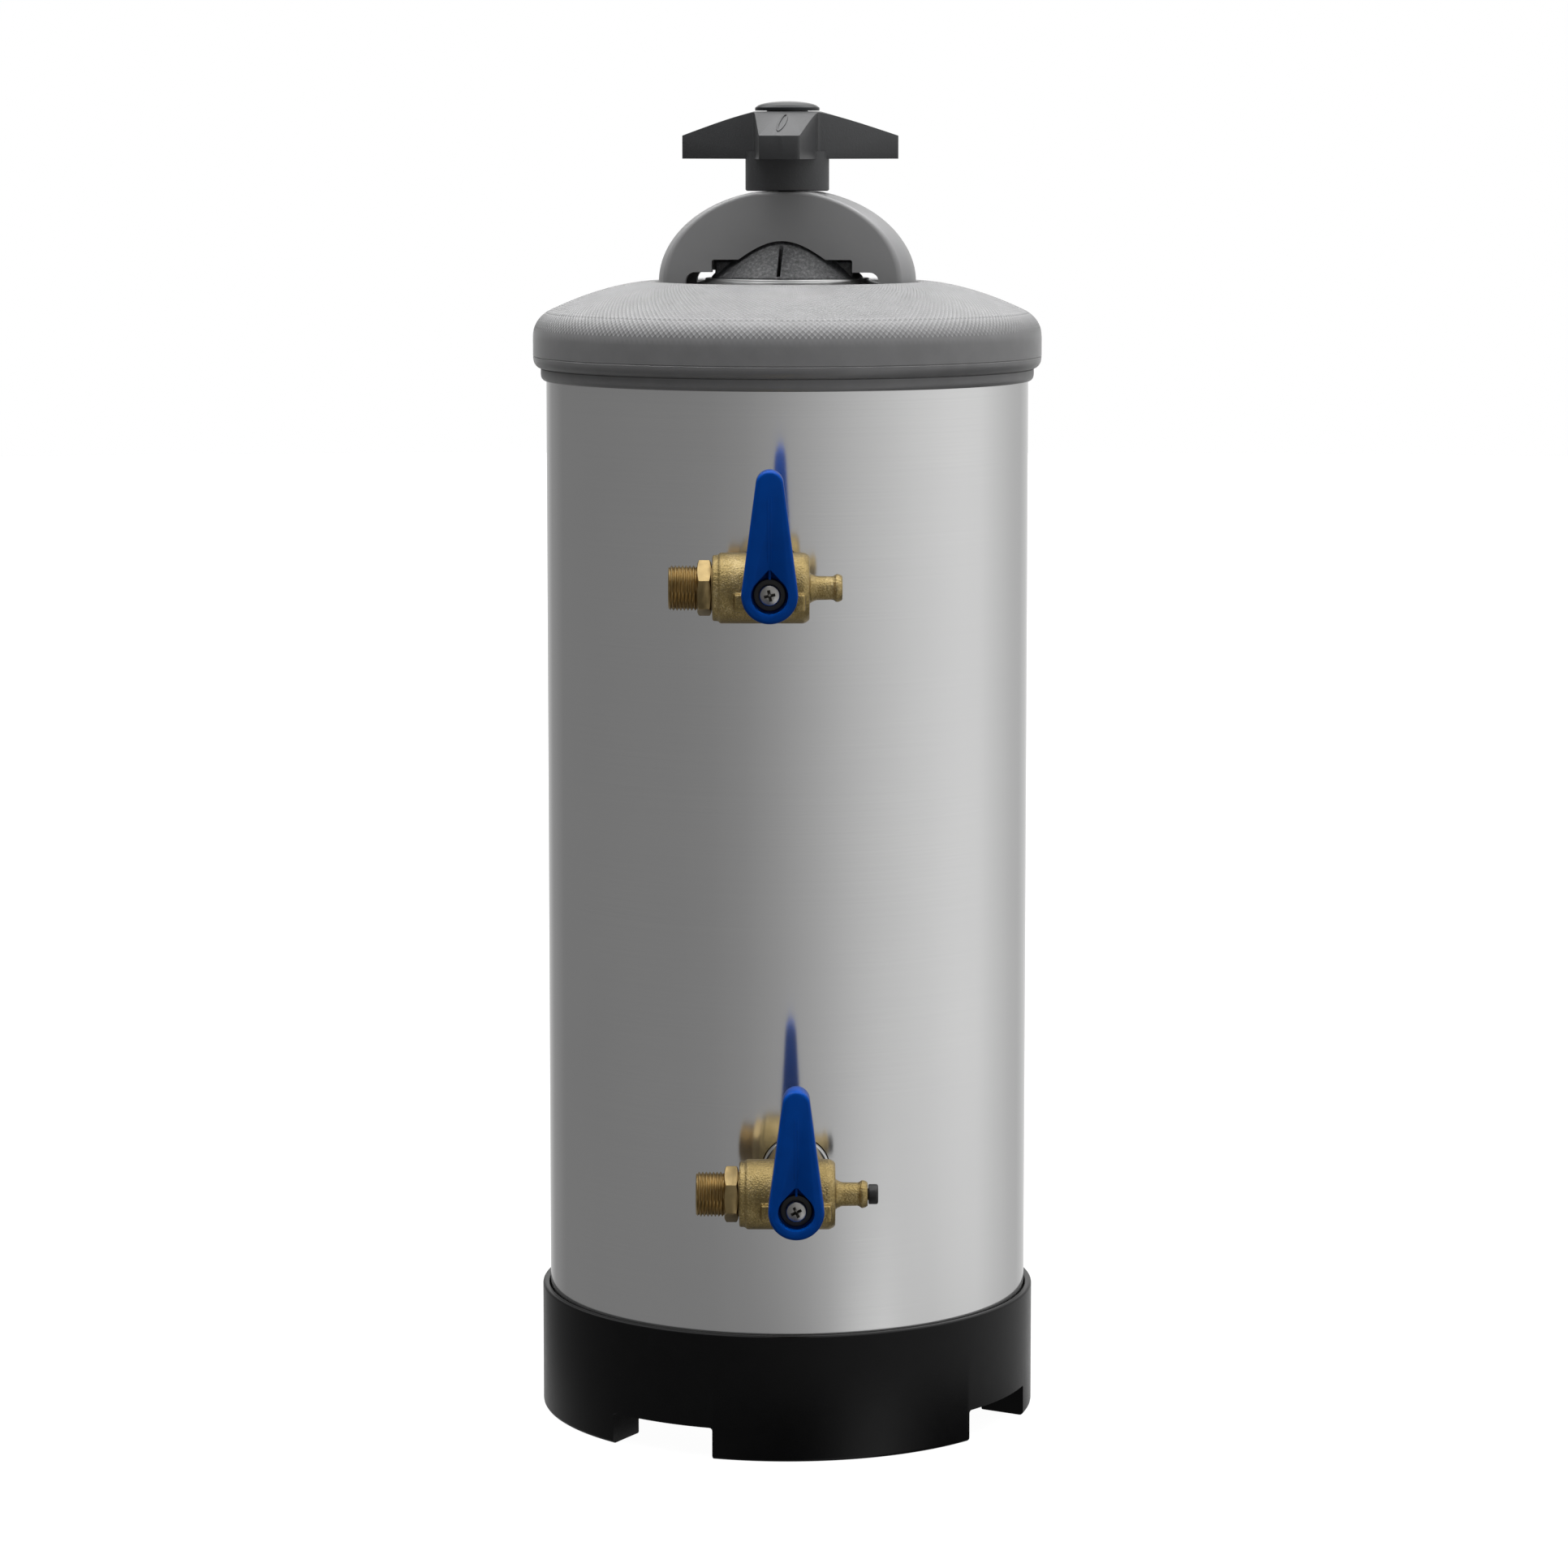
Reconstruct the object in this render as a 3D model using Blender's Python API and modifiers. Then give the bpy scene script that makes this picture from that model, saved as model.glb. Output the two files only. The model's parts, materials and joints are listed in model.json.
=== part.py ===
"""Manual water softener: a steel resin tank with two three-way ball valves.

Metres, +Z up. The front, where the valves are, faces -Y, and +X is to the right
seen from the front. The origin is the centre of the bounding box's bottom face,
so the tank's own axis stands AXIS_Y behind it. Heights are measured from the
floor, radii from the tank's axis, and a valve's dimensions from the point where
its stem's axis crosses its body's axis.
"""
import math

import bmesh
import bpy

MM = 0.001
GAP = 0.3 * MM                      # clearance kept between touching pieces
BIG_STEPS = 40                      # facets round the tank, cover and base
MID_STEPS = 28                      # facets round the neck, lid and knob
SMALL_STEPS = 16                    # facets round valve pieces
TO_FRONT = (math.pi / 2, 0.0, 0.0)  # turns a piece's own +Z to face the front, -Y
TO_RIGHT = (0.0, math.pi / 2, 0.0)  # turns a piece's own +Z to +X

# Tank
TANK_RADIUS = 95.0 * MM
TANK_WALL = 1.5 * MM
TANK_BOTTOM = 17.7 * MM
TANK_TOP = 424.0 * MM
DOME_RADIUS = TANK_RADIUS - TANK_WALL - GAP
TOP_DOME_RISE = 19.0 * MM
BOTTOM_DOME_DROP = 11.0 * MM
BOTTOM_DOME_LEVEL = 28.5 * MM
DOME_SKIRT = 9.0 * MM
RESIN_RADIUS = 91.0 * MM
RESIN_BOTTOM = 30.0 * MM
RESIN_TOP = 318.0 * MM

# Base
BASE_RADIUS = 98.1 * MM
BASE_HEIGHT = 49.2 * MM
BASE_BORE = TANK_RADIUS + 0.4 * MM
FOOT_INNER = 80.0 * MM
SHELF_INNER = 70.0 * MM
SHELF_BOTTOM = 13.7 * MM
SHELF_TOP = TANK_BOTTOM - GAP
BASE_EDGE = 1.6 * MM
NOTCH_WIDTH = 45.0 * MM
NOTCH_HEIGHT = 12.3 * MM
NOTCH_FIRST_ANGLE = math.radians(-30.4)  # from the front, towards +X

# Cover
COVER_RADIUS = 100.2 * MM
COVER_WALL = 2.4 * MM
COVER_OPENING = 52.0 * MM
COVER_CREST = 449.2 * MM
COVER_CREST_RADIUS = 53.0 * MM
COVER_CROWN_RADIUS = 90.4 * MM      # where the crown has dropped by COVER_CROWN_DROP
COVER_CROWN_DROP = 9.9 * MM
COVER_CROWN_POWER = 1.7
COVER_SHOULDER = 11.0 * MM          # radius of the rounded shoulder
COVER_SHOULDER_LEVEL = 427.6 * MM
COVER_BAND_BOTTOM = 419.8 * MM
COVER_FLANGE_TOP = 415.9 * MM
COVER_FLANGE_RADIUS = 97.4 * MM
COVER_BOTTOM = 410.4 * MM
COVER_BORE = TANK_RADIUS + 0.4 * MM
COVER_LIP_BOTTOM = 441.6 * MM

# Neck and lid
CLOSURE_TURN = math.radians(-7.0)    # how far the lid and the bridge are turned about the tank
MOUTH_RADIUS = 30.4 * MM
NECK_TOP = 450.5 * MM
NECK_PLATEAU = 31.6 * MM
NECK_FLANGE_RADIUS = 36.2 * MM
NECK_FLANGE_LEVEL = 448.4 * MM
NECK_COLLAR_RADIUS = 35.2 * MM
NECK_BOTTOM = 440.0 * MM
DOME_HOLE = NECK_COLLAR_RADIUS + 0.4 * MM
LID_BOSS_RADIUS = 30.0 * MM
LID_PLATE_RADIUS = 35.5 * MM
LID_PLATE_TOP = 437.4 * MM
LID_PLATE_BOTTOM = 433.0 * MM
LID_CONE_TOP = 474.5 * MM
LID_CONE_TOP_RADIUS = 7.5 * MM
LID_BLOCK_HALF_WIDTH = 27.0 * MM
LID_BLOCK_HALF_DEPTH = 12.5 * MM
LID_BLOCK_TOP = 457.3 * MM
LID_SLOT_WIDTH = 1.5 * MM
GASKET_BORE = LID_BOSS_RADIUS + 0.5 * MM
STUD_RADIUS = 4.0 * MM
STUD_BOTTOM = 456.0 * MM

# Bridge
BRIDGE_LEVEL = 449.0 * MM           # the level that the arch rises from
BRIDGE_HALF_SPAN = 50.9 * MM
BRIDGE_RISE = 36.2 * MM
BRIDGE_TOP = 484.2 * MM
BRIDGE_HALF_DEPTH = 18.0 * MM
BRIDGE_TAPER = 4.5 * MM             # how much narrower each side is at its faces
BRIDGE_EDGE = 1.6 * MM
BRIDGE_WALL = 3.2 * MM
BRIDGE_FOOT = 447.0 * MM
BRIDGE_LEG_INNER = 38.0 * MM
BRIDGE_FACE_BOTTOM = 453.0 * MM
BRIDGE_NOTCH_HALF_WIDTH = 27.6 * MM
BRIDGE_NOTCH_TOP = 457.9 * MM
PAD_INNER = 38.4 * MM
PAD_OUTER = 49.5 * MM
PAD_HALF_DEPTH = 11.0 * MM
PAD_BOTTOM = 442.8 * MM

# Knob
KNOB_BOTTOM = 497.0 * MM
KNOB_REACH = 46.0 * MM
KNOB_TIP_TOP = 506.0 * MM
KNOB_HUB_TOP = 515.5 * MM
KNOB_HUB_RADIUS = 13.0 * MM
KNOB_LOBE_HUB_WIDTH = 25.0 * MM
KNOB_LOBE_TIP_WIDTH = 15.7 * MM
KNOB_FIRST_LOBE = math.radians(-94.0)    # the front lobe, from +X
KNOB_LOBES = 3
KNOB_EDGE = 0.8 * MM
SLEEVE_RADIUS = 16.45 * MM
SLEEVE_BOTTOM = BRIDGE_TOP + GAP
INSERT_RADIUS = 8.0 * MM
INSERT_BOTTOM = 488.3 * MM
INSERT_LENGTH = 12.0 * MM
KNOB_POCKET = 8.4 * MM
CAP_RADIUS = 12.7 * MM
CAP_BOTTOM = KNOB_HUB_TOP + GAP
CAP_EDGE_TOP = 517.2 * MM
CAP_TOP = 519.5 * MM
CAP_SPIGOT_BOTTOM = 508.0 * MM

# Valves
VALVE_REACH = 137.0 * MM            # tank's axis to the valve body's axis
VALVES = (("upper", -6.5 * MM, 340.4 * MM), ("lower", 3.2 * MM, 113.4 * MM))
BODY_RADIUS = 13.05 * MM
BODY_RING_RADIUS = 12.2 * MM
BODY_RING_LENGTH = 2.5 * MM
BODY_LEFT = -21.2 * MM
BODY_RIGHT = 14.6 * MM
BODY_EDGE = 1.2 * MM
CHAMBER_RADIUS = 8.6 * MM
CHAMBER_RIGHT = 9.8 * MM
BARB_RADIUS = 4.4 * MM
BARB_LIP_RADIUS = 5.2 * MM
BARB_LIP_LENGTH = 2.8 * MM
BARB_END = 26.7 * MM
BARB_BORE = 2.6 * MM
BALL_RADIUS = 8.2 * MM
BACK_PORT = 3.6 * MM
SIDE_PORT = 3.3 * MM
BALL_SLOT_WIDTH = 3.4 * MM
BALL_SLOT_FLOOR = 5.5 * MM
SEAT_BORE = 4.2 * MM
SEAT_RADIUS = CHAMBER_RADIUS - GAP
SEAT_NEAR = 5.1 * MM
SEAT_THROAT = 7.65 * MM
SEAT_FACE_RADIUS = 7.0 * MM
SEAT_FAR = 9.5 * MM
NIPPLE_RADIUS = 8.33 * MM           # 3/8 inch pipe thread, over its crests
NIPPLE_SHANK = 8.3 * MM
NIPPLE_BORE = 5.0 * MM
NIPPLE_INNER_END = -9.8 * MM
NIPPLE_END = -37.3 * MM
HEX_ACROSS_FLATS = 18.5 * MM
HEX_TURNS = {"upper": math.radians(11.0), "lower": 0.0}   # as the nipples were tightened
HEX_RIGHT = BODY_LEFT - GAP
HEX_LEFT = -26.7 * MM
FRONT_BOSS_RADIUS = 8.2 * MM
FRONT_BOSS_END = 17.0 * MM
SEAL_POCKET_RADIUS = 6.5 * MM
SEAL_POCKET_FLOOR = 13.5 * MM
STEM_RADIUS = 4.3 * MM
STEM_BORE = STEM_RADIUS + GAP
STEM_START = 8.7 * MM
STEM_SHOULDER = 20.6 * MM
STEM_END = 26.7 * MM
STEM_SQUARE = 6.0 * MM
TANG_THICKNESS = BALL_SLOT_WIDTH - 2 * GAP
TANG_WIDTH = 6.4 * MM
TANG_END = BALL_SLOT_FLOOR + GAP
GLAND_ACROSS_FLATS = 15.0 * MM
GLAND_FLANGE_BACK = 17.3 * MM
GLAND_FRONT = 20.3 * MM
LUG_NEAR = 9.0 * MM
LUG_FAR = 13.0 * MM
LUG_TOP = -1.0 * MM
LUG_BOTTOM = -7.6 * MM
LUG_BACK = 4.0 * MM
LUG_FRONT = 15.5 * MM

# The tail that goes through the tank's wall, measured forwards from the stem's centre
REAR_NECK_RADIUS = 10.0 * MM
REAR_NECK_END = -24.7 * MM
TAIL_RADIUS = 8.5 * MM
TAIL_END = -53.0 * MM
TAIL_BORE = 5.0 * MM
TAIL_HOLE = TAIL_RADIUS + 0.4 * MM
UNION_ACROSS_FLATS = 24.0 * MM
UNION_FRONT = REAR_NECK_END - GAP
UNION_BACK = -35.9 * MM
PORT_GASKET_RADIUS = 12.5 * MM
PORT_GASKET_THICKNESS = 2.0 * MM
PORT_BOSS_RADIUS = 13.0 * MM
PORT_BOSS_FRONT = UNION_BACK - 2 * GAP - PORT_GASKET_THICKNESS
PORT_BOSS_BACK = -45.5 * MM
STRAINER_RADIUS = 10.4 * MM
STRAINER_WALL = 1.5 * MM
STRAINER_FRONT = PORT_BOSS_BACK - GAP
STRAINER_BACK = -85.0 * MM
STRAINER_SLOT = 1.6 * MM

# Lever, measured like the tail and upwards from the stem's axis
LEVER_BACK = 21.0 * MM
LEVER_FRONT = 33.0 * MM
LEVER_HUB = 10.3 * MM
LEVER_TIP = 5.05 * MM
LEVER_REACH = 45.3 * MM
LEVER_EDGE = 1.0 * MM
LEVER_POCKET = 6.75 * MM
LEVER_POCKET_POINT = 9.9 * MM
LEVER_POCKET_FLOOR = 27.0 * MM
WASHER_RADIUS = 5.8 * MM
WASHER_BORE = 2.4 * MM
WASHER_FRONT = 28.5 * MM
SCREW_HEAD = 4.0 * MM
SCREW_RADIUS = 2.0 * MM
SCREW_SEAT = WASHER_FRONT + GAP
SCREW_FRONT = 31.6 * MM
SCREW_END = 19.5 * MM

# Plug in the lower hose tail
PLUG_RADIUS = 3.75 * MM
PLUG_SHANK = 2.2 * MM
PLUG_INNER_END = 20.0 * MM
PLUG_END = 30.6 * MM

# The lever's front and the cover's back are the object's furthest points in Y
AXIS_Y = (VALVE_REACH + LEVER_FRONT - COVER_RADIUS) / 2

# base colour, roughness, metallic
FINISHES = {
    "satin_steel": ((0.55, 0.55, 0.55), 0.35, 1.0),
    "polished_steel": ((0.70, 0.70, 0.70), 0.15, 1.0),
    "grey_plastic": ((0.30, 0.30, 0.31), 0.50, 0.0),
    "black_plastic": ((0.012, 0.012, 0.013), 0.45, 0.0),
    "dark_nylon": ((0.035, 0.037, 0.040), 0.40, 0.0),
    "blue_plastic": ((0.0, 0.012, 0.09), 0.35, 0.0),
    "cast_brass": ((0.50, 0.34, 0.10), 0.40, 1.0),
    "turned_brass": ((0.60, 0.43, 0.15), 0.25, 1.0),
    "black_rubber": ((0.01, 0.01, 0.01), 0.75, 0.0),
    "white_seal": ((0.80, 0.80, 0.78), 0.45, 0.0),
    "resin": ((0.45, 0.25, 0.06), 0.60, 0.0),
}


def clear_scene():
    """Remove the objects of the open file."""
    for obj in list(bpy.data.objects):
        bpy.data.objects.remove(obj, do_unlink=True)


def add_collection(name):
    """A new collection in the scene."""
    collection = bpy.data.collections.new(name)
    bpy.context.scene.collection.children.link(collection)
    return collection


clear_scene()
PARTS = add_collection("water_softener")
CUTTERS = add_collection("cutters")


def add_empty(name, location, parent=None):
    """An empty that places the pieces parented to it."""
    empty = bpy.data.objects.new(name, None)
    empty.location = location
    empty.parent = parent
    PARTS.objects.link(empty)
    return empty


def finish_material(name, finish):
    """A piece's own Principled material."""
    color, roughness, metallic = FINISHES[finish]
    material = bpy.data.materials.new(name + "_" + finish)
    material.use_nodes = True
    shader = material.node_tree.nodes["Principled BSDF"]
    shader.inputs["Base Color"].default_value = (*color, 1.0)
    shader.inputs["Roughness"].default_value = roughness
    shader.inputs["Metallic"].default_value = metallic
    return material


def add_part(name, mesh, finish, parent, rotation=(0.0, 0.0, 0.0)):
    """A piece of the object, with its origin on its parent's."""
    part = bpy.data.objects.new(name, mesh)
    part.rotation_euler = rotation
    part.parent = parent
    part.data.materials.append(finish_material(name, finish))
    PARTS.objects.link(part)
    return part


def add_cutter(name, mesh, parent, location=(0.0, 0.0, 0.0), rotation=(0.0, 0.0, 0.0)):
    """A shape that is cut from a piece, or joined to it."""
    cutter = bpy.data.objects.new(name, mesh)
    cutter.location = location
    cutter.rotation_euler = rotation
    cutter.parent = parent
    cutter.hide_render = True
    cutter.display_type = "WIRE"
    CUTTERS.objects.link(cutter)
    return cutter


def combine(part, tool, operation):
    """Cut a tool from a piece, join it to the piece, or keep what they share."""
    modifier = part.modifiers.new(operation.lower() + "_" + tool.name, "BOOLEAN")
    modifier.operation = operation
    modifier.solver = "EXACT"
    modifier.object = tool


def turn(part, steps):
    """Spin a piece's profile about its own Z axis."""
    screw = part.modifiers.new("turned", "SCREW")
    screw.steps = steps
    screw.render_steps = steps
    screw.use_merge_vertices = True
    screw.merge_threshold = 0.01 * MM
    screw.use_smooth_shade = True


def profile_mesh(name, points, closed):
    """A turned piece's profile of (radius, height) points, running down its outer side."""
    mesh = bpy.data.meshes.new(name)
    edges = [(i, i + 1) for i in range(len(points) - 1)]
    if closed:
        edges.append((len(points) - 1, 0))
    mesh.from_pydata([(radius, 0.0, height) for radius, height in points], edges, [])
    return mesh


def turned_part(name, points, finish, parent, steps=SMALL_STEPS, rotation=(0.0, 0.0, 0.0), hollow=True):
    """A turned piece. A hollow one has a closed profile clear of the axis."""
    part = add_part(name, profile_mesh(name, points, hollow), finish, parent, rotation)
    turn(part, steps)
    return part


def turned_cutter(name, points, parent, steps=SMALL_STEPS, rotation=(0.0, 0.0, 0.0)):
    """A turned tool, whose profile starts and ends on the axis."""
    cutter = add_cutter(name, profile_mesh(name, points, False), parent, rotation=rotation)
    turn(cutter, steps)
    return cutter


def ring_profile(bore, radius, bottom, top):
    """The closed profile of a plain ring."""
    return [(radius, top), (radius, bottom), (bore, bottom), (bore, top)]


def rod_profile(radius, bottom, top):
    """The open profile of a plain rod."""
    return [(0.0, top), (radius, top), (radius, bottom), (0.0, bottom)]


def arc(centre, radii, first, last, steps):
    """Points of an elliptical arc between two angles in degrees, both ends included."""
    angles = [math.radians(first + (last - first) * i / steps) for i in range(steps + 1)]
    return [(centre[0] + radii[0] * math.cos(a), centre[1] + radii[1] * math.sin(a)) for a in angles]


def box_mesh(name, low, high):
    """A box between two corners."""
    bm = bmesh.new()
    bmesh.ops.create_cube(bm, size=1.0)
    for vert in bm.verts:
        for axis in range(3):
            vert.co[axis] = low[axis] if vert.co[axis] < 0 else high[axis]
    mesh = bpy.data.meshes.new(name)
    bm.to_mesh(mesh)
    bm.free()
    return mesh


def prism_mesh(name, outline, bottom, top):
    """A flat outline of (x, y) points, anticlockwise, raised between two heights."""
    bm = bmesh.new()
    face = bm.faces.new([bm.verts.new((x, y, top)) for x, y in outline])
    raised = bmesh.ops.extrude_face_region(bm, geom=[face], use_keep_orig=True)
    for item in raised["geom"]:
        if isinstance(item, bmesh.types.BMVert):
            item.co.z = bottom
    bmesh.ops.recalc_face_normals(bm, faces=bm.faces)
    mesh = bpy.data.meshes.new(name)
    bm.to_mesh(mesh)
    bm.free()
    return mesh


def hexagon(across_flats, turned=0.0):
    """The outline of a hexagon with a corner at an angle from +X."""
    corner = across_flats / math.sqrt(3)
    angles = [turned + math.radians(60 * i) for i in range(6)]
    return [(corner * math.cos(a), corner * math.sin(a)) for a in angles]


def teardrop(radius, point):
    """A circle's outline drawn out to a point on +Y."""
    side = math.degrees(math.asin(radius / point))
    return arc((0.0, 0.0), (radius, radius), 180 - side, 360 + side, 20) + [(0.0, point)]


def lever_outline():
    """Two arcs of unlike radius joined by straight flanks, narrowing towards +Y."""
    tip_centre = LEVER_REACH - LEVER_TIP
    lean = math.degrees(math.asin((LEVER_HUB - LEVER_TIP) / tip_centre))
    hub = arc((0.0, 0.0), (LEVER_HUB, LEVER_HUB), 180 - lean, 360 + lean, 20)
    tip = arc((0.0, tip_centre), (LEVER_TIP, LEVER_TIP), lean, 180 - lean, 10)
    return hub + tip


def bevel(part, width, segments=1):
    """Round a piece's sharp edges."""
    modifier = part.modifiers.new("rounded_edges", "BEVEL")
    modifier.width = width
    modifier.segments = segments
    modifier.limit_method = "ANGLE"
    modifier.angle_limit = math.radians(40)


def cover_crown(radius):
    """The height of the cover's top at a radius."""
    reach = (radius - COVER_CREST_RADIUS) / (COVER_CROWN_RADIUS - COVER_CREST_RADIUS)
    return COVER_CREST - COVER_CROWN_DROP * max(reach, 0.0) ** COVER_CROWN_POWER


def base(axis):
    """The moulded foot: a ring with a shelf that the tank stands on, notched below."""
    profile = [
        (BASE_BORE + 0.6 * MM, BASE_HEIGHT),
        (BASE_RADIUS - 0.6 * MM, BASE_HEIGHT),
        (BASE_RADIUS, BASE_HEIGHT - 0.6 * MM),
        (BASE_RADIUS, BASE_EDGE),
        (BASE_RADIUS - BASE_EDGE, 0.0),
        (FOOT_INNER, 0.0),
        (FOOT_INNER, SHELF_BOTTOM),
        (SHELF_INNER, SHELF_BOTTOM),
        (SHELF_INNER, SHELF_TOP),
        (BASE_BORE, SHELF_TOP),
        (BASE_BORE, BASE_HEIGHT - 0.6 * MM),
    ]
    foot = turned_part("base_foot", profile, "black_plastic", axis, BIG_STEPS)
    half = NOTCH_WIDTH / 2
    low = (-half, -BASE_RADIUS - 10 * MM, -10 * MM)
    high = (half, -FOOT_INNER + 15 * MM, NOTCH_HEIGHT)
    for number in range(4):
        angle = NOTCH_FIRST_ANGLE + number * math.pi / 2
        name = "foot_notch_%d" % (number + 1)
        cutter = add_cutter(name, box_mesh(name, low, high), axis, rotation=(0.0, 0.0, angle))
        combine(foot, cutter, "DIFFERENCE")


def tank(axis):
    """The steel shell with its two pressed ends, the neck and the resin inside."""
    wall = ring_profile(TANK_RADIUS - TANK_WALL, TANK_RADIUS, TANK_BOTTOM, TANK_TOP)
    shell = turned_part("tank_shell", wall, "satin_steel", axis, BIG_STEPS)
    port_profile = rod_profile(PORT_BOSS_RADIUS + GAP, TANK_RADIUS - 20 * MM, TANK_RADIUS + 5 * MM)
    for side, x, z in VALVES:
        name = side + "_port_hole"
        hole = turned_cutter(name, port_profile, axis, rotation=TO_FRONT)
        hole.location = (x, 0.0, z)
        combine(shell, hole, "DIFFERENCE")

    inner = DOME_RADIUS - TANK_WALL
    level = TANK_TOP
    outer_end = math.degrees(math.acos(DOME_HOLE / DOME_RADIUS))
    inner_end = math.degrees(math.acos(DOME_HOLE / inner))
    dome = arc((0.0, level), (DOME_RADIUS, TOP_DOME_RISE), outer_end, 0, 4)
    dome += [(DOME_RADIUS, level - DOME_SKIRT), (inner, level - DOME_SKIRT)]
    dome += arc((0.0, level), (inner, TOP_DOME_RISE - TANK_WALL), 0, inner_end, 4)
    turned_part("tank_top_dome", dome, "satin_steel", axis, BIG_STEPS)

    level = BOTTOM_DOME_LEVEL
    dish = arc((0.0, level), (inner, BOTTOM_DOME_DROP - TANK_WALL), -90, 0, 3)
    dish += [(inner, level + DOME_SKIRT), (DOME_RADIUS, level + DOME_SKIRT)]
    dish += arc((0.0, level), (DOME_RADIUS, BOTTOM_DOME_DROP), 0, -90, 3)
    dish[0] = (0.0, dish[0][1])
    dish[-1] = (0.0, dish[-1][1])
    turned_part("tank_bottom_dome", dish, "satin_steel", axis, BIG_STEPS, hollow=False)

    neck = [
        (MOUTH_RADIUS, NECK_TOP),
        (NECK_PLATEAU, NECK_TOP),
        (NECK_FLANGE_RADIUS, NECK_FLANGE_LEVEL),
        (NECK_FLANGE_RADIUS, NECK_FLANGE_LEVEL - 1.2 * MM),
        (NECK_COLLAR_RADIUS, NECK_FLANGE_LEVEL - 1.6 * MM),
        (NECK_COLLAR_RADIUS, NECK_BOTTOM),
        (MOUTH_RADIUS, NECK_BOTTOM),
    ]
    turned_part("neck_ring", neck, "polished_steel", axis, MID_STEPS)

    bed_profile = rod_profile(RESIN_RADIUS, RESIN_BOTTOM, RESIN_TOP)
    bed = turned_part("resin_bed", bed_profile, "resin", axis, BIG_STEPS, hollow=False)
    side, x, z = VALVES[1]
    back = VALVE_REACH + STRAINER_BACK - 2 * MM
    pocket_profile = rod_profile(STRAINER_RADIUS + 1 * MM, back, TANK_RADIUS)
    pocket = turned_cutter("strainer_pocket", pocket_profile, axis, rotation=TO_FRONT)
    pocket.location = (x, 0.0, z)
    combine(bed, pocket, "DIFFERENCE")


def cover(axis):
    """The plastic cover: a gently domed ring with a rounded shoulder and a lower flange."""
    shoulder = (COVER_RADIUS - COVER_SHOULDER, COVER_SHOULDER_LEVEL)
    shoulder_top = 62                # degrees, where the crown runs into the shoulder
    crown_end = shoulder[0] + COVER_SHOULDER * math.cos(math.radians(shoulder_top))
    crown_steps = 4
    crown = [COVER_CREST_RADIUS + (crown_end - COVER_CREST_RADIUS) * i / crown_steps
             for i in range(crown_steps)]
    inner_radius = COVER_SHOULDER - COVER_WALL
    profile = [(COVER_OPENING, COVER_CREST - 0.8 * MM)]
    profile += [(r, cover_crown(r)) for r in crown]
    profile += arc(shoulder, (COVER_SHOULDER, COVER_SHOULDER), shoulder_top, 0, 4)
    profile += [
        (COVER_RADIUS, COVER_BAND_BOTTOM),
        (COVER_FLANGE_RADIUS, COVER_FLANGE_TOP),
        (COVER_FLANGE_RADIUS - 1.0 * MM, COVER_BOTTOM),
        (COVER_BORE, COVER_BOTTOM),
        (COVER_BORE, COVER_FLANGE_TOP + 1.5 * MM),
        (COVER_RADIUS - COVER_WALL, COVER_BAND_BOTTOM + 1.0 * MM),
    ]
    profile += arc(shoulder, (inner_radius, inner_radius), 0, shoulder_top, 2)
    profile += [(r, cover_crown(r) - COVER_WALL) for r in reversed(crown[1:])]
    profile += [
        (COVER_OPENING + COVER_WALL, COVER_CREST - COVER_WALL - 0.3 * MM),
        (COVER_OPENING + COVER_WALL, COVER_LIP_BOTTOM),
        (COVER_OPENING, COVER_LIP_BOTTOM),
    ]
    turned_part("top_cover", profile, "grey_plastic", axis, BIG_STEPS)


def arch_mesh(name, inset, foot):
    """An arch from side to side, narrower at its faces and rounded along their edges.

    Its surface lies inset inside the bridge's, and its sides run down to foot.
    """
    half_depth = BRIDGE_HALF_DEPTH - inset
    edge = max(BRIDGE_EDGE - inset, 0.4 * MM)
    stations = [-half_depth + edge * (1 - math.cos(math.radians(30 * i))) for i in range(4)]
    stations += [-half_depth / 3, half_depth / 3]
    stations += [-y for y in reversed(stations[:4])]
    arch_steps = 24
    rings = []
    bm = bmesh.new()
    for y in stations:
        past = max(abs(y) - (half_depth - edge), 0.0)
        rounding = edge - math.sqrt(max(edge * edge - past * past, 0.0))
        span = BRIDGE_HALF_SPAN - BRIDGE_TAPER * (y / BRIDGE_HALF_DEPTH) ** 2 - inset - rounding
        rise = BRIDGE_RISE - inset - rounding
        top = BRIDGE_TOP - inset - rounding
        section = [(span, foot)]
        section += [(x, min(z, top)) for x, z in arc((0.0, BRIDGE_LEVEL), (span, rise), 0, 180, arch_steps)]
        section += [(-span, foot)]
        rings.append([bm.verts.new((x, y, z)) for x, z in section])
    for near, far in zip(rings, rings[1:]):
        for i in range(len(near)):
            after = (i + 1) % len(near)
            bm.faces.new((near[i], far[i], far[after], near[after]))
    bm.faces.new(rings[0])
    bm.faces.new(list(reversed(rings[-1])))
    bmesh.ops.recalc_face_normals(bm, faces=bm.faces)
    mesh = bpy.data.meshes.new(name)
    bm.to_mesh(mesh)
    bm.free()
    mesh.shade_smooth()
    mesh.set_sharp_from_angle(angle=math.radians(35))
    return mesh


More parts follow.
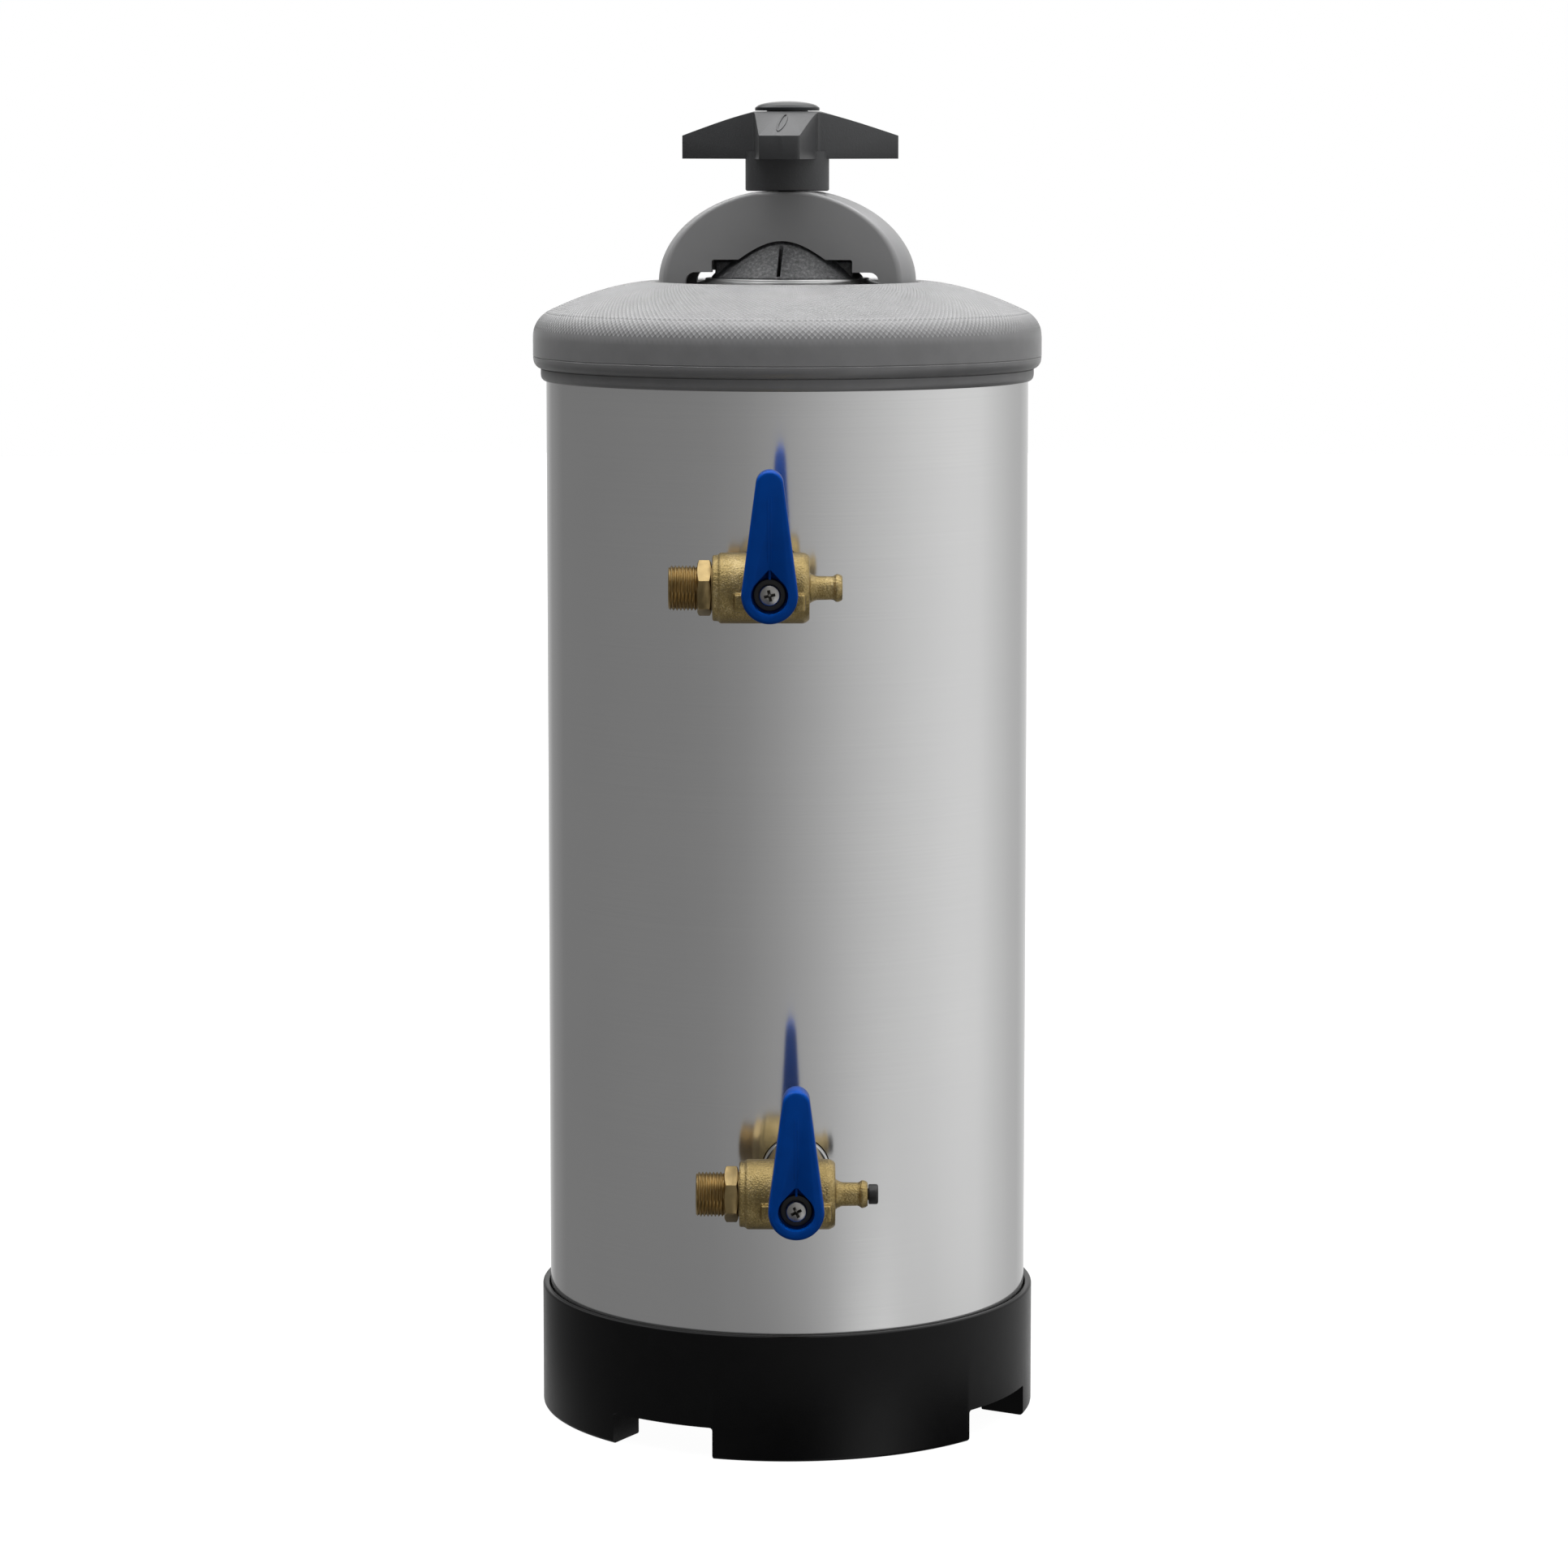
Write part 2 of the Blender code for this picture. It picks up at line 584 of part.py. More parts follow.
def bridge(closure):
    """The hollow arch that the knob bears on, with a pad under each leg."""
    arch = add_part("bridge", arch_mesh("bridge", 0.0, BRIDGE_FOOT), "grey_plastic", closure)
    inner_arch = arch_mesh("bridge_hollow", BRIDGE_WALL, BRIDGE_FOOT - 5 * MM)
    hollow = add_cutter("bridge_hollow", inner_arch, closure)
    combine(arch, hollow, "DIFFERENCE")
    reach = BRIDGE_HALF_DEPTH + 5 * MM
    openings = (
        ("bridge_underside", BRIDGE_LEG_INNER, BRIDGE_FACE_BOTTOM),
        ("bridge_notch", BRIDGE_NOTCH_HALF_WIDTH, BRIDGE_NOTCH_TOP),
    )
    for name, half_width, top in openings:
        low = (-half_width, -reach, BRIDGE_FOOT - 10 * MM)
        high = (half_width, reach, top)
        combine(arch, add_cutter(name, box_mesh(name, low, high), closure), "DIFFERENCE")
    clearance = 0.9 * MM
    bore = STUD_RADIUS + 0.6 * MM
    room = [
        (0.0, BRIDGE_TOP + 5 * MM),
        (bore, BRIDGE_TOP + 5 * MM),
        (bore, LID_CONE_TOP + clearance),
        (LID_CONE_TOP_RADIUS + clearance, LID_CONE_TOP + clearance),
        (LID_BOSS_RADIUS + clearance, NECK_TOP + clearance),
        (LID_BOSS_RADIUS + clearance, BRIDGE_FOOT - 10 * MM),
        (0.0, BRIDGE_FOOT - 10 * MM),
    ]
    combine(arch, turned_cutter("bridge_lid_room", room, closure, MID_STEPS), "DIFFERENCE")
    for name, side in (("bridge_pad_left", -1), ("bridge_pad_right", 1)):
        near, far = sorted((side * PAD_INNER, side * PAD_OUTER))
        low = (near, -PAD_HALF_DEPTH, PAD_BOTTOM)
        high = (far, PAD_HALF_DEPTH, BRIDGE_FOOT - GAP)
        add_part(name, box_mesh(name, low, high), "black_rubber", closure)


def lid(closure):
    """The lid that seals against the neck from below, its gasket and its stud."""
    profile = [
        (0.0, LID_CONE_TOP),
        (LID_CONE_TOP_RADIUS, LID_CONE_TOP),
        (LID_BOSS_RADIUS, NECK_TOP),
        (LID_BOSS_RADIUS, LID_PLATE_TOP),
        (LID_PLATE_RADIUS, LID_PLATE_TOP),
        (LID_PLATE_RADIUS, LID_PLATE_BOTTOM),
        (0.0, LID_PLATE_BOTTOM),
    ]
    body = turned_part("lid", profile, "dark_nylon", closure, MID_STEPS, hollow=False)
    block_low = (-LID_BLOCK_HALF_WIDTH, -LID_BLOCK_HALF_DEPTH, NECK_TOP - 5 * MM)
    block_high = (LID_BLOCK_HALF_WIDTH, LID_BLOCK_HALF_DEPTH, LID_BLOCK_TOP)
    combine(body, add_cutter("lid_blocks", box_mesh("lid_blocks", block_low, block_high), closure), "UNION")
    slot_low = (-LID_SLOT_WIDTH / 2, -LID_BOSS_RADIUS - 5 * MM, NECK_TOP + 1 * MM)
    slot_high = (LID_SLOT_WIDTH / 2, -BRIDGE_HALF_DEPTH, LID_CONE_TOP)
    combine(body, add_cutter("lid_slot", box_mesh("lid_slot", slot_low, slot_high), closure), "DIFFERENCE")
    socket_profile = rod_profile(STUD_RADIUS + GAP, STUD_BOTTOM - GAP, LID_CONE_TOP + 5 * MM)
    combine(body, turned_cutter("lid_stud_socket", socket_profile, closure), "DIFFERENCE")
    gasket = ring_profile(GASKET_BORE, NECK_COLLAR_RADIUS, LID_PLATE_TOP + GAP, NECK_BOTTOM - GAP)
    turned_part("lid_gasket", gasket, "black_rubber", closure, MID_STEPS)
    stud = rod_profile(STUD_RADIUS, STUD_BOTTOM, INSERT_BOTTOM + INSERT_LENGTH)
    turned_part("lid_stud", stud, "satin_steel", closure, hollow=False)


def knob_outline():
    """Three tapered lobes round the stud, meeting in the valleys between them."""
    half_tip = math.asin(KNOB_LOBE_TIP_WIDTH / 2 / KNOB_REACH)
    valley = KNOB_LOBE_HUB_WIDTH / 2 / math.sin(math.pi / KNOB_LOBES)
    points = []
    for lobe in range(KNOB_LOBES):
        middle = KNOB_FIRST_LOBE + lobe * 2 * math.pi / KNOB_LOBES
        polar = [(KNOB_REACH, middle + half_tip * side) for side in (-1.0, -0.5, 0.0, 0.5, 1.0)]
        polar.append((valley, middle + math.pi / KNOB_LOBES))
        points += [(r * math.cos(a), r * math.sin(a)) for r, a in polar]
    return points


def knob(axis):
    """The lobed hand knob on its sleeve, with the threaded insert and the cap."""
    mesh = prism_mesh("knob", knob_outline(), KNOB_BOTTOM, KNOB_HUB_TOP + 5 * MM)
    grip = add_part("knob", mesh, "dark_nylon", axis)
    fall = (KNOB_HUB_TOP - KNOB_TIP_TOP) / (KNOB_REACH - KNOB_HUB_RADIUS)
    outside = KNOB_REACH + 5 * MM
    slope = [
        (0.0, KNOB_HUB_TOP),
        (KNOB_HUB_RADIUS, KNOB_HUB_TOP),
        (outside, KNOB_TIP_TOP - 5 * MM * fall),
        (outside, KNOB_BOTTOM - 5 * MM),
        (0.0, KNOB_BOTTOM - 5 * MM),
    ]
    combine(grip, turned_cutter("knob_slope", slope, axis, BIG_STEPS), "INTERSECT")
    bevel(grip, KNOB_EDGE)
    sleeve = turned_cutter("knob_sleeve", rod_profile(SLEEVE_RADIUS, SLEEVE_BOTTOM, KNOB_BOTTOM + 5 * MM),
                           axis, MID_STEPS)
    combine(grip, sleeve, "UNION")
    bore = STUD_RADIUS + 0.6 * MM
    room = [
        (0.0, KNOB_HUB_TOP + 5 * MM),
        (KNOB_POCKET, KNOB_HUB_TOP + 5 * MM),
        (KNOB_POCKET, INSERT_BOTTOM - GAP),
        (bore, INSERT_BOTTOM - GAP),
        (bore, SLEEVE_BOTTOM - 5 * MM),
        (0.0, SLEEVE_BOTTOM - 5 * MM),
    ]
    combine(grip, turned_cutter("knob_bore", room, axis), "DIFFERENCE")
    top = INSERT_BOTTOM + INSERT_LENGTH
    insert = add_part("knob_insert", prism_mesh("knob_insert", hexagon(INSERT_RADIUS * math.sqrt(3)),
                                                INSERT_BOTTOM, top), "turned_brass", axis)
    thread = rod_profile(STUD_RADIUS + GAP, INSERT_BOTTOM - 5 * MM, top + 5 * MM)
    combine(insert, turned_cutter("knob_insert_bore", thread, axis), "DIFFERENCE")
    cap = [(0.0, CAP_TOP), (CAP_RADIUS * 0.55, CAP_TOP - 0.5 * MM), (CAP_RADIUS - 0.8 * MM, CAP_EDGE_TOP)]
    cap += [(CAP_RADIUS, CAP_EDGE_TOP - 0.7 * MM), (CAP_RADIUS, CAP_BOTTOM)]
    cap += [(KNOB_POCKET - GAP, CAP_BOTTOM), (KNOB_POCKET - GAP, CAP_SPIGOT_BOTTOM)]
    cap += [(0.0, CAP_SPIGOT_BOTTOM)]
    turned_part("knob_cap", cap, "dark_nylon", axis, MID_STEPS, hollow=False)


def valve_body(side, valve):
    """The brass casting: chamber, hose tail, stem boss, stop lugs and threaded tail."""
    name = side + "_valve_body"
    profile = [
        (0.0, BARB_END),
        (BARB_LIP_RADIUS, BARB_END),
        (BARB_LIP_RADIUS, BARB_END - BARB_LIP_LENGTH + 0.8 * MM),
        (BARB_RADIUS, BARB_END - BARB_LIP_LENGTH),
        (BARB_RADIUS, BODY_RIGHT),
        (BODY_RADIUS - BODY_EDGE, BODY_RIGHT),
        (BODY_RADIUS, BODY_RIGHT - BODY_EDGE),
        (BODY_RADIUS, BODY_LEFT + BODY_RING_LENGTH),
        (BODY_RING_RADIUS, BODY_LEFT + BODY_RING_LENGTH),
        (BODY_RING_RADIUS, BODY_LEFT),
        (0.0, BODY_LEFT),
    ]
    body = turned_part(name, profile, "cast_brass", valve, 20, TO_RIGHT, hollow=False)
    cross_profile = [
        (0.0, FRONT_BOSS_END),
        (FRONT_BOSS_RADIUS, FRONT_BOSS_END),
        (FRONT_BOSS_RADIUS, 0.0),
        (REAR_NECK_RADIUS, 0.0),
        (REAR_NECK_RADIUS, REAR_NECK_END),
        (TAIL_RADIUS, REAR_NECK_END),
        (TAIL_RADIUS, TAIL_END),
        (0.0, TAIL_END),
    ]
    cross = turned_cutter(name + "_cross", cross_profile, valve, rotation=TO_FRONT)
    combine(body, cross, "UNION")
    for end, sign in (("left", -1), ("right", 1)):
        near, far = sorted((sign * LUG_NEAR, sign * LUG_FAR))
        lug = name + "_lug_" + end
        mesh = box_mesh(lug, (near, -LUG_FRONT, LUG_BOTTOM), (far, -LUG_BACK, LUG_TOP))
        combine(body, add_cutter(lug, mesh, valve), "UNION")
    chamber = [
        (0.0, BARB_END + 2 * MM),
        (BARB_BORE, BARB_END + 2 * MM),
        (BARB_BORE, CHAMBER_RIGHT),
        (CHAMBER_RADIUS, CHAMBER_RIGHT),
        (CHAMBER_RADIUS, BODY_LEFT - 2 * MM),
        (0.0, BODY_LEFT - 2 * MM),
    ]
    combine(body, turned_cutter(name + "_chamber", chamber, valve, 20, TO_RIGHT), "DIFFERENCE")
    through = [
        (0.0, FRONT_BOSS_END + 2 * MM),
        (SEAL_POCKET_RADIUS, FRONT_BOSS_END + 2 * MM),
        (SEAL_POCKET_RADIUS, SEAL_POCKET_FLOOR),
        (STEM_BORE, SEAL_POCKET_FLOOR),
        (STEM_BORE, 0.0),
        (TAIL_BORE, 0.0),
        (TAIL_BORE, TAIL_END - 2 * MM),
        (0.0, TAIL_END - 2 * MM),
    ]
    combine(body, turned_cutter(name + "_through", through, valve, rotation=TO_FRONT), "DIFFERENCE")


def end_nipple(side, valve):
    """The threaded end that is screwed into the body and holds the seats in."""
    name = side + "_end_nipple"
    profile = [
        (0.0, NIPPLE_INNER_END),
        (NIPPLE_SHANK, NIPPLE_INNER_END),
        (NIPPLE_SHANK, HEX_RIGHT - 1 * MM),
        (NIPPLE_RADIUS, HEX_RIGHT - 1 * MM),
        (NIPPLE_RADIUS, NIPPLE_END + 0.8 * MM),
        (NIPPLE_RADIUS - 0.8 * MM, NIPPLE_END),
        (0.0, NIPPLE_END),
    ]
    nipple = turned_part(name, profile, "turned_brass", valve, SMALL_STEPS, TO_RIGHT, hollow=False)
    nut = prism_mesh(name + "_hex", hexagon(HEX_ACROSS_FLATS, HEX_TURNS[side]), HEX_LEFT, HEX_RIGHT)
    combine(nipple, add_cutter(name + "_hex", nut, valve, rotation=TO_RIGHT), "UNION")
    bore = rod_profile(NIPPLE_BORE, NIPPLE_END - 2 * MM, NIPPLE_INNER_END + 2 * MM)
    combine(nipple, turned_cutter(name + "_bore", bore, valve, 16, TO_RIGHT), "DIFFERENCE")


def ball(side, valve):
    """The ball, with a port up its side and one at its back, and a slot for the stem."""
    name = side + "_ball"
    mesh = profile_mesh(name, arc((0.0, 0.0), (BALL_RADIUS, BALL_RADIUS), 90, -90, 8), False)
    mesh.vertices[0].co.x = 0.0
    mesh.vertices[len(mesh.vertices) - 1].co.x = 0.0
    sphere = add_part(name, mesh, "polished_steel", valve, TO_FRONT)
    turn(sphere, 20)
    reach = BALL_RADIUS + 2 * MM
    back_port = rod_profile(BACK_PORT, -reach, 0.8 * MM)
    combine(sphere, turned_cutter(name + "_back_port", back_port, valve, 16, TO_FRONT), "DIFFERENCE")
    side_port = rod_profile(SIDE_PORT, -1 * MM, reach)
    combine(sphere, turned_cutter(name + "_side_port", side_port, valve, 16), "DIFFERENCE")
    half = BALL_SLOT_WIDTH / 2
    slot = box_mesh(name + "_slot", (-half, -reach, -reach), (half, -BALL_SLOT_FLOOR, reach))
    combine(sphere, add_cutter(name + "_slot", slot, valve), "DIFFERENCE")


def seats(side, valve):
    """The two seat rings that the ball turns between."""
    for end, sign in (("left", -1), ("right", 1)):
        profile = [
            (SEAT_RADIUS, sign * SEAT_FAR),
            (SEAT_RADIUS, sign * SEAT_NEAR),
            (SEAT_FACE_RADIUS, sign * SEAT_NEAR),
            (SEAT_BORE, sign * SEAT_THROAT),
            (SEAT_BORE, sign * SEAT_FAR),
        ]
        if sign < 0:
            profile.reverse()
        turned_part("%s_seat_%s" % (side, end), profile, "white_seal", valve, SMALL_STEPS, TO_RIGHT)


def stem(side, valve):
    """The stem with its tang and square, its seal and its gland nut."""
    name = side + "_stem"
    rod = rod_profile(STEM_RADIUS, STEM_START, STEM_SHOULDER)
    part = turned_part(name, rod, "turned_brass", valve, 16, TO_FRONT, hollow=False)
    half = STEM_SQUARE / 2
    square = box_mesh(name + "_square", (-half, -STEM_END, -half), (half, -STEM_SHOULDER + 2 * MM, half))
    combine(part, add_cutter(name + "_square", square, valve), "UNION")
    tang_low = (-TANG_THICKNESS / 2, -STEM_START - 2 * MM, -TANG_WIDTH / 2)
    tang_high = (TANG_THICKNESS / 2, -TANG_END, TANG_WIDTH / 2)
    combine(part, add_cutter(name + "_tang", box_mesh(name + "_tang", tang_low, tang_high), valve), "UNION")
    bore = rod_profile(SCREW_RADIUS + GAP, SCREW_END - 1 * MM, STEM_END + 2 * MM)
    combine(part, turned_cutter(name + "_bore", bore, valve, 12, TO_FRONT), "DIFFERENCE")

    seal_front = SEAL_POCKET_FLOOR + 2.0 * MM
    seal = ring_profile(STEM_BORE, SEAL_POCKET_RADIUS - GAP, SEAL_POCKET_FLOOR + GAP, seal_front)
    turned_part(side + "_stem_seal", seal, "black_rubber", valve, 16, TO_FRONT)

    name = side + "_gland_nut"
    gland_profile = rod_profile(SEAL_POCKET_RADIUS - GAP, seal_front + GAP, GLAND_FRONT)
    gland = turned_part(name, gland_profile, "turned_brass", valve, 16, TO_FRONT, hollow=False)
    flange = prism_mesh(name + "_flange", hexagon(GLAND_ACROSS_FLATS), GLAND_FLANGE_BACK, GLAND_FRONT)
    combine(gland, add_cutter(name + "_flange", flange, valve, rotation=TO_FRONT), "UNION")
    hole = rod_profile(STEM_BORE, seal_front - 2 * MM, GLAND_FRONT + 2 * MM)
    combine(gland, turned_cutter(name + "_hole", hole, valve, 16, TO_FRONT), "DIFFERENCE")


def lever(side, valve):
    """The lever with its washer and screw. It points up, with the ball closed to both ends."""
    name = side + "_lever"
    mesh = prism_mesh(name, lever_outline(), LEVER_BACK, LEVER_FRONT)
    handle = add_part(name, mesh, "blue_plastic", valve, TO_FRONT)
    bevel(handle, LEVER_EDGE)
    pocket = prism_mesh(name + "_pocket", teardrop(LEVER_POCKET, LEVER_POCKET_POINT),
                        LEVER_POCKET_FLOOR, LEVER_FRONT + 5 * MM)
    combine(handle, add_cutter(name + "_pocket", pocket, valve, rotation=TO_FRONT), "DIFFERENCE")
    half = STEM_SQUARE / 2 + GAP
    hole_near = (-half, -LEVER_FRONT - 5 * MM, -half)
    hole_far = (half, -LEVER_BACK + 5 * MM, half)
    hole = box_mesh(name + "_hole", hole_near, hole_far)
    combine(handle, add_cutter(name + "_hole", hole, valve), "DIFFERENCE")
    washer = ring_profile(WASHER_BORE, WASHER_RADIUS, LEVER_POCKET_FLOOR + GAP, WASHER_FRONT)
    turned_part(side + "_lever_washer", washer, "black_rubber", valve, SMALL_STEPS, TO_FRONT)
    screw = [
        (0.0, SCREW_FRONT),
        (SCREW_HEAD * 0.6, SCREW_FRONT - 0.4 * MM),
        (SCREW_HEAD, SCREW_FRONT - 1.6 * MM),
        (SCREW_HEAD, SCREW_SEAT),
        (SCREW_RADIUS, SCREW_SEAT),
        (SCREW_RADIUS, SCREW_END),
        (0.0, SCREW_END),
    ]
    turned_part(side + "_lever_screw", screw, "polished_steel", valve, 16, TO_FRONT, hollow=False)


def tank_port(side, valve):
    """What fastens the valve's tail to the tank: nut, gasket, welded boss and strainer."""
    name = side + "_union_nut"
    nut = add_part(name, prism_mesh(name, hexagon(UNION_ACROSS_FLATS), UNION_BACK, UNION_FRONT),
                   "turned_brass", valve, TO_FRONT)
    hole = rod_profile(TAIL_HOLE, UNION_BACK - 2 * MM, UNION_FRONT + 2 * MM)
    combine(nut, turned_cutter(name + "_hole", hole, valve, rotation=TO_FRONT), "DIFFERENCE")
    front = UNION_BACK - GAP
    gasket = ring_profile(TAIL_HOLE, PORT_GASKET_RADIUS, front - PORT_GASKET_THICKNESS, front)
    turned_part(side + "_port_gasket", gasket, "black_rubber", valve, SMALL_STEPS, TO_FRONT)
    boss = ring_profile(TAIL_HOLE, PORT_BOSS_RADIUS, PORT_BOSS_BACK, PORT_BOSS_FRONT)
    turned_part(side + "_port_boss", boss, "satin_steel", valve, SMALL_STEPS, TO_FRONT)

    name = side + "_strainer"
    inner = STRAINER_RADIUS - STRAINER_WALL
    cup = [
        (inner, STRAINER_FRONT),
        (STRAINER_RADIUS, STRAINER_FRONT),
        (STRAINER_RADIUS, STRAINER_BACK),
        (0.0, STRAINER_BACK),
    ]
    cup = [(0.0, STRAINER_BACK + STRAINER_WALL), (inner, STRAINER_BACK + STRAINER_WALL)] + cup
    strainer = turned_part(name, cup, "white_seal", valve, 16, TO_FRONT, hollow=False)
    slot_reach = STRAINER_RADIUS + 2 * MM
    slot_back = STRAINER_BACK + 5 * MM
    slot_front = TAIL_END - 3 * MM
    for number, turned in enumerate((30, 90, 150)):
        slot = "%s_slot_%d" % (name, number + 1)
        mesh = box_mesh(slot, (-slot_reach, -slot_front, -STRAINER_SLOT / 2),
                        (slot_reach, -slot_back, STRAINER_SLOT / 2))
        cutter = add_cutter(slot, mesh, valve, rotation=(0.0, math.radians(turned), 0.0))
        combine(strainer, cutter, "DIFFERENCE")


def plug(side, valve):
    """The rubber plug in the lower hose tail."""
    profile = [
        (0.0, PLUG_END),
        (PLUG_RADIUS, PLUG_END),
        (PLUG_RADIUS, BARB_END + GAP),
        (PLUG_SHANK, BARB_END + GAP),
        (PLUG_SHANK, PLUG_INNER_END),
        (0.0, PLUG_INNER_END),
    ]
    turned_part(side + "_drain_plug", profile, "black_rubber", valve, 16, TO_RIGHT, hollow=False)


def water_softener():
    """Build the whole object round the tank's axis."""
    axis = add_empty("tank_axis", (0.0, AXIS_Y, 0.0))
    base(axis)
    tank(axis)
    cover(axis)
    closure = add_empty("closure", (0.0, 0.0, 0.0), axis)
    closure.rotation_euler = (0.0, 0.0, CLOSURE_TURN)
    bridge(closure)
    lid(closure)
    knob(axis)
    for side, x, z in VALVES:
        valve = add_empty(side + "_valve", (x, -VALVE_REACH, z), axis)
        valve_body(side, valve)
        end_nipple(side, valve)
        ball(side, valve)
        seats(side, valve)
        stem(side, valve)
        lever(side, valve)
        tank_port(side, valve)
    plug("lower", valve)


water_softener()
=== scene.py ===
"""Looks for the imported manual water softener: fine pieces, materials, light and camera.

Metres, +Z up, the valves facing -Y. A valve's pieces are built in its own frame, with its
origin where the stem's axis crosses the body's, x to the right, y away from the front and z up.
"""

import math

import bmesh
import bpy
import numpy as np
from mathutils import Matrix, Vector
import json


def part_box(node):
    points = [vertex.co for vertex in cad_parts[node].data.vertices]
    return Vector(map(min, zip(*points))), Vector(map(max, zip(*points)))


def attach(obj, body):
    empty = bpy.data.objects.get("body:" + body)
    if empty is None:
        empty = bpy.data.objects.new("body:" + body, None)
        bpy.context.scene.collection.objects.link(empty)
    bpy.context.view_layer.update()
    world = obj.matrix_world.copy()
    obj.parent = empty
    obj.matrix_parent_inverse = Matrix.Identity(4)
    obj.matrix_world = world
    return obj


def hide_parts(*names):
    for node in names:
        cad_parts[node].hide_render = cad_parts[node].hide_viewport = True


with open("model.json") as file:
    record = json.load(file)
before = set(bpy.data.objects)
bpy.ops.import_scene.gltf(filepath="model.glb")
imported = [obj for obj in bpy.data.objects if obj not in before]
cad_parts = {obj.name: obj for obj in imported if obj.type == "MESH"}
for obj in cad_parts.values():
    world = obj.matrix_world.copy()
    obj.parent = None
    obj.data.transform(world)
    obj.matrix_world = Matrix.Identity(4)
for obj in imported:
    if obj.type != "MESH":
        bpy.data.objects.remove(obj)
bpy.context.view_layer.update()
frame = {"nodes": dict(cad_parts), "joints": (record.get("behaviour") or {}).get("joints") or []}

MM = 0.001
JOINTS = {joint["name"]: joint for joint in frame["joints"]}
TANK_LOW, TANK_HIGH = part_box("tank_shell")
AXIS = Vector((0.0, (TANK_LOW.y + TANK_HIGH.y) / 2, 0.0))
PIVOTS = {side: Vector(JOINTS[side + "_lever_turn"]["pos_m"]) for side in ("upper", "lower")}
CLOSURE_TURN = math.radians(-7.0)       # how far the lid and the bridge are turned
TO_RIGHT = Matrix.Rotation(math.pi / 2, 4, "Y")     # a piece's own +Z to +X
TO_FRONT = Matrix.Rotation(math.pi / 2, 4, "X")     # a piece's own +Z to -Y
ON_AXIS = Matrix.Translation(AXIS)
ON_CLOSURE = ON_AXIS @ Matrix.Rotation(CLOSURE_TURN, 4, "Z")
HEX_TURNS = {"upper": 11.0, "lower": 0.0}   # degrees, as the nipples were tightened
SCREW_TURNS = {"upper": 12, "lower": 25}    # degrees, as the screws were tightened
SHARP = 32.0                            # degrees between faces, above which an edge isn't smooth
TOUCHING = 1e-7                         # metres: nearer than this is the same place


# Mesh helpers

def mm(points):
    """Points given in millimetres, in metres."""
    return [tuple(value * MM for value in point) for point in points]


def rounded(points, closed, steps=4):
    """A polyline of (a, b) or (a, b, radius) points, with arcs at the corners that have a radius."""
    out = []
    count = len(points)
    for i, point in enumerate(points):
        here = np.array(point[:2], float)
        radius = point[2] if len(point) > 2 else 0.0
        if radius <= 0 or (not closed and i in (0, count - 1)):
            out.append(tuple(here))
            continue
        back = np.array(points[i - 1][:2]) - here
        ahead = np.array(points[(i + 1) % count][:2]) - here
        reach_back, reach_ahead = np.linalg.norm(back), np.linalg.norm(ahead)
        back, ahead = back / reach_back, ahead / reach_ahead
        half = math.acos(max(-1.0, min(1.0, float(back @ ahead)))) / 2
        reach = min(radius / math.tan(half), 0.49 * reach_back, 0.49 * reach_ahead)
        radius = reach * math.tan(half)
        centre = here + (back + ahead) / np.linalg.norm(back + ahead) * radius / math.sin(half)
        first = here + back * reach - centre
        last = here + ahead * reach - centre
        start = math.atan2(first[1], first[0])
        sweep = (math.atan2(last[1], last[0]) - start + math.pi) % (2 * math.pi) - math.pi
        for k in range(steps + 1):
            angle = start + sweep * k / steps
            out.append((centre[0] + radius * math.cos(angle), centre[1] + radius * math.sin(angle)))
    return out


def arc(centre, radii, first, last, steps):
    """Points of an elliptical arc between two angles in degrees."""
    angles = np.radians(np.linspace(first, last, steps + 1))
    return [(centre[0] + radii[0] * math.cos(a), centre[1] + radii[1] * math.sin(a)) for a in angles]


def make_mesh(name, verts, faces, sharp=SHARP):
    """A mesh with outward faces, smooth but for its sharp edges."""
    mesh = bpy.data.meshes.new(name)
    mesh.from_pydata([tuple(v) for v in verts], [], faces)
    bm = bmesh.new()
    bm.from_mesh(mesh)
    bmesh.ops.recalc_face_normals(bm, faces=bm.faces)
    bm.to_mesh(mesh)
    bm.free()
    return smoothed(mesh, sharp)


def smoothed(mesh, sharp=SHARP):
    """Smooth shading broken at edges sharper than an angle in degrees."""
    mesh.shade_smooth()
    mesh.set_sharp_from_angle(angle=math.radians(sharp))
    return mesh


def lathe(name, profile, steps, closed=False, matrix=ON_AXIS):
    """A profile of (radius, height) points turned about +Z, then moved by a matrix."""
    verts, rings = [], []
    angles = [2 * math.pi * i / steps for i in range(steps)]
    for radius, height in profile:
        if radius < TOUCHING:
            rings.append([len(verts)])
            verts.append(Vector((0.0, 0.0, height)))
        else:
            rings.append(list(range(len(verts), len(verts) + steps)))
            verts += [Vector((radius * math.cos(a), radius * math.sin(a), height)) for a in angles]
    pairs = list(zip(rings, rings[1:]))
    if closed:
        pairs.append((rings[-1], rings[0]))
    faces = []
    for lower, upper in pairs:
        for i in range(steps):
            after = (i + 1) % steps
            if len(lower) == 1 and len(upper) > 1:
                faces.append((lower[0], upper[i], upper[after]))
            elif len(upper) == 1 and len(lower) > 1:
                faces.append((lower[i], upper[0], lower[after]))
            elif len(lower) > 1:
                faces.append((lower[i], upper[i], upper[after], lower[after]))
    return make_mesh(name, [matrix @ v for v in verts], faces)


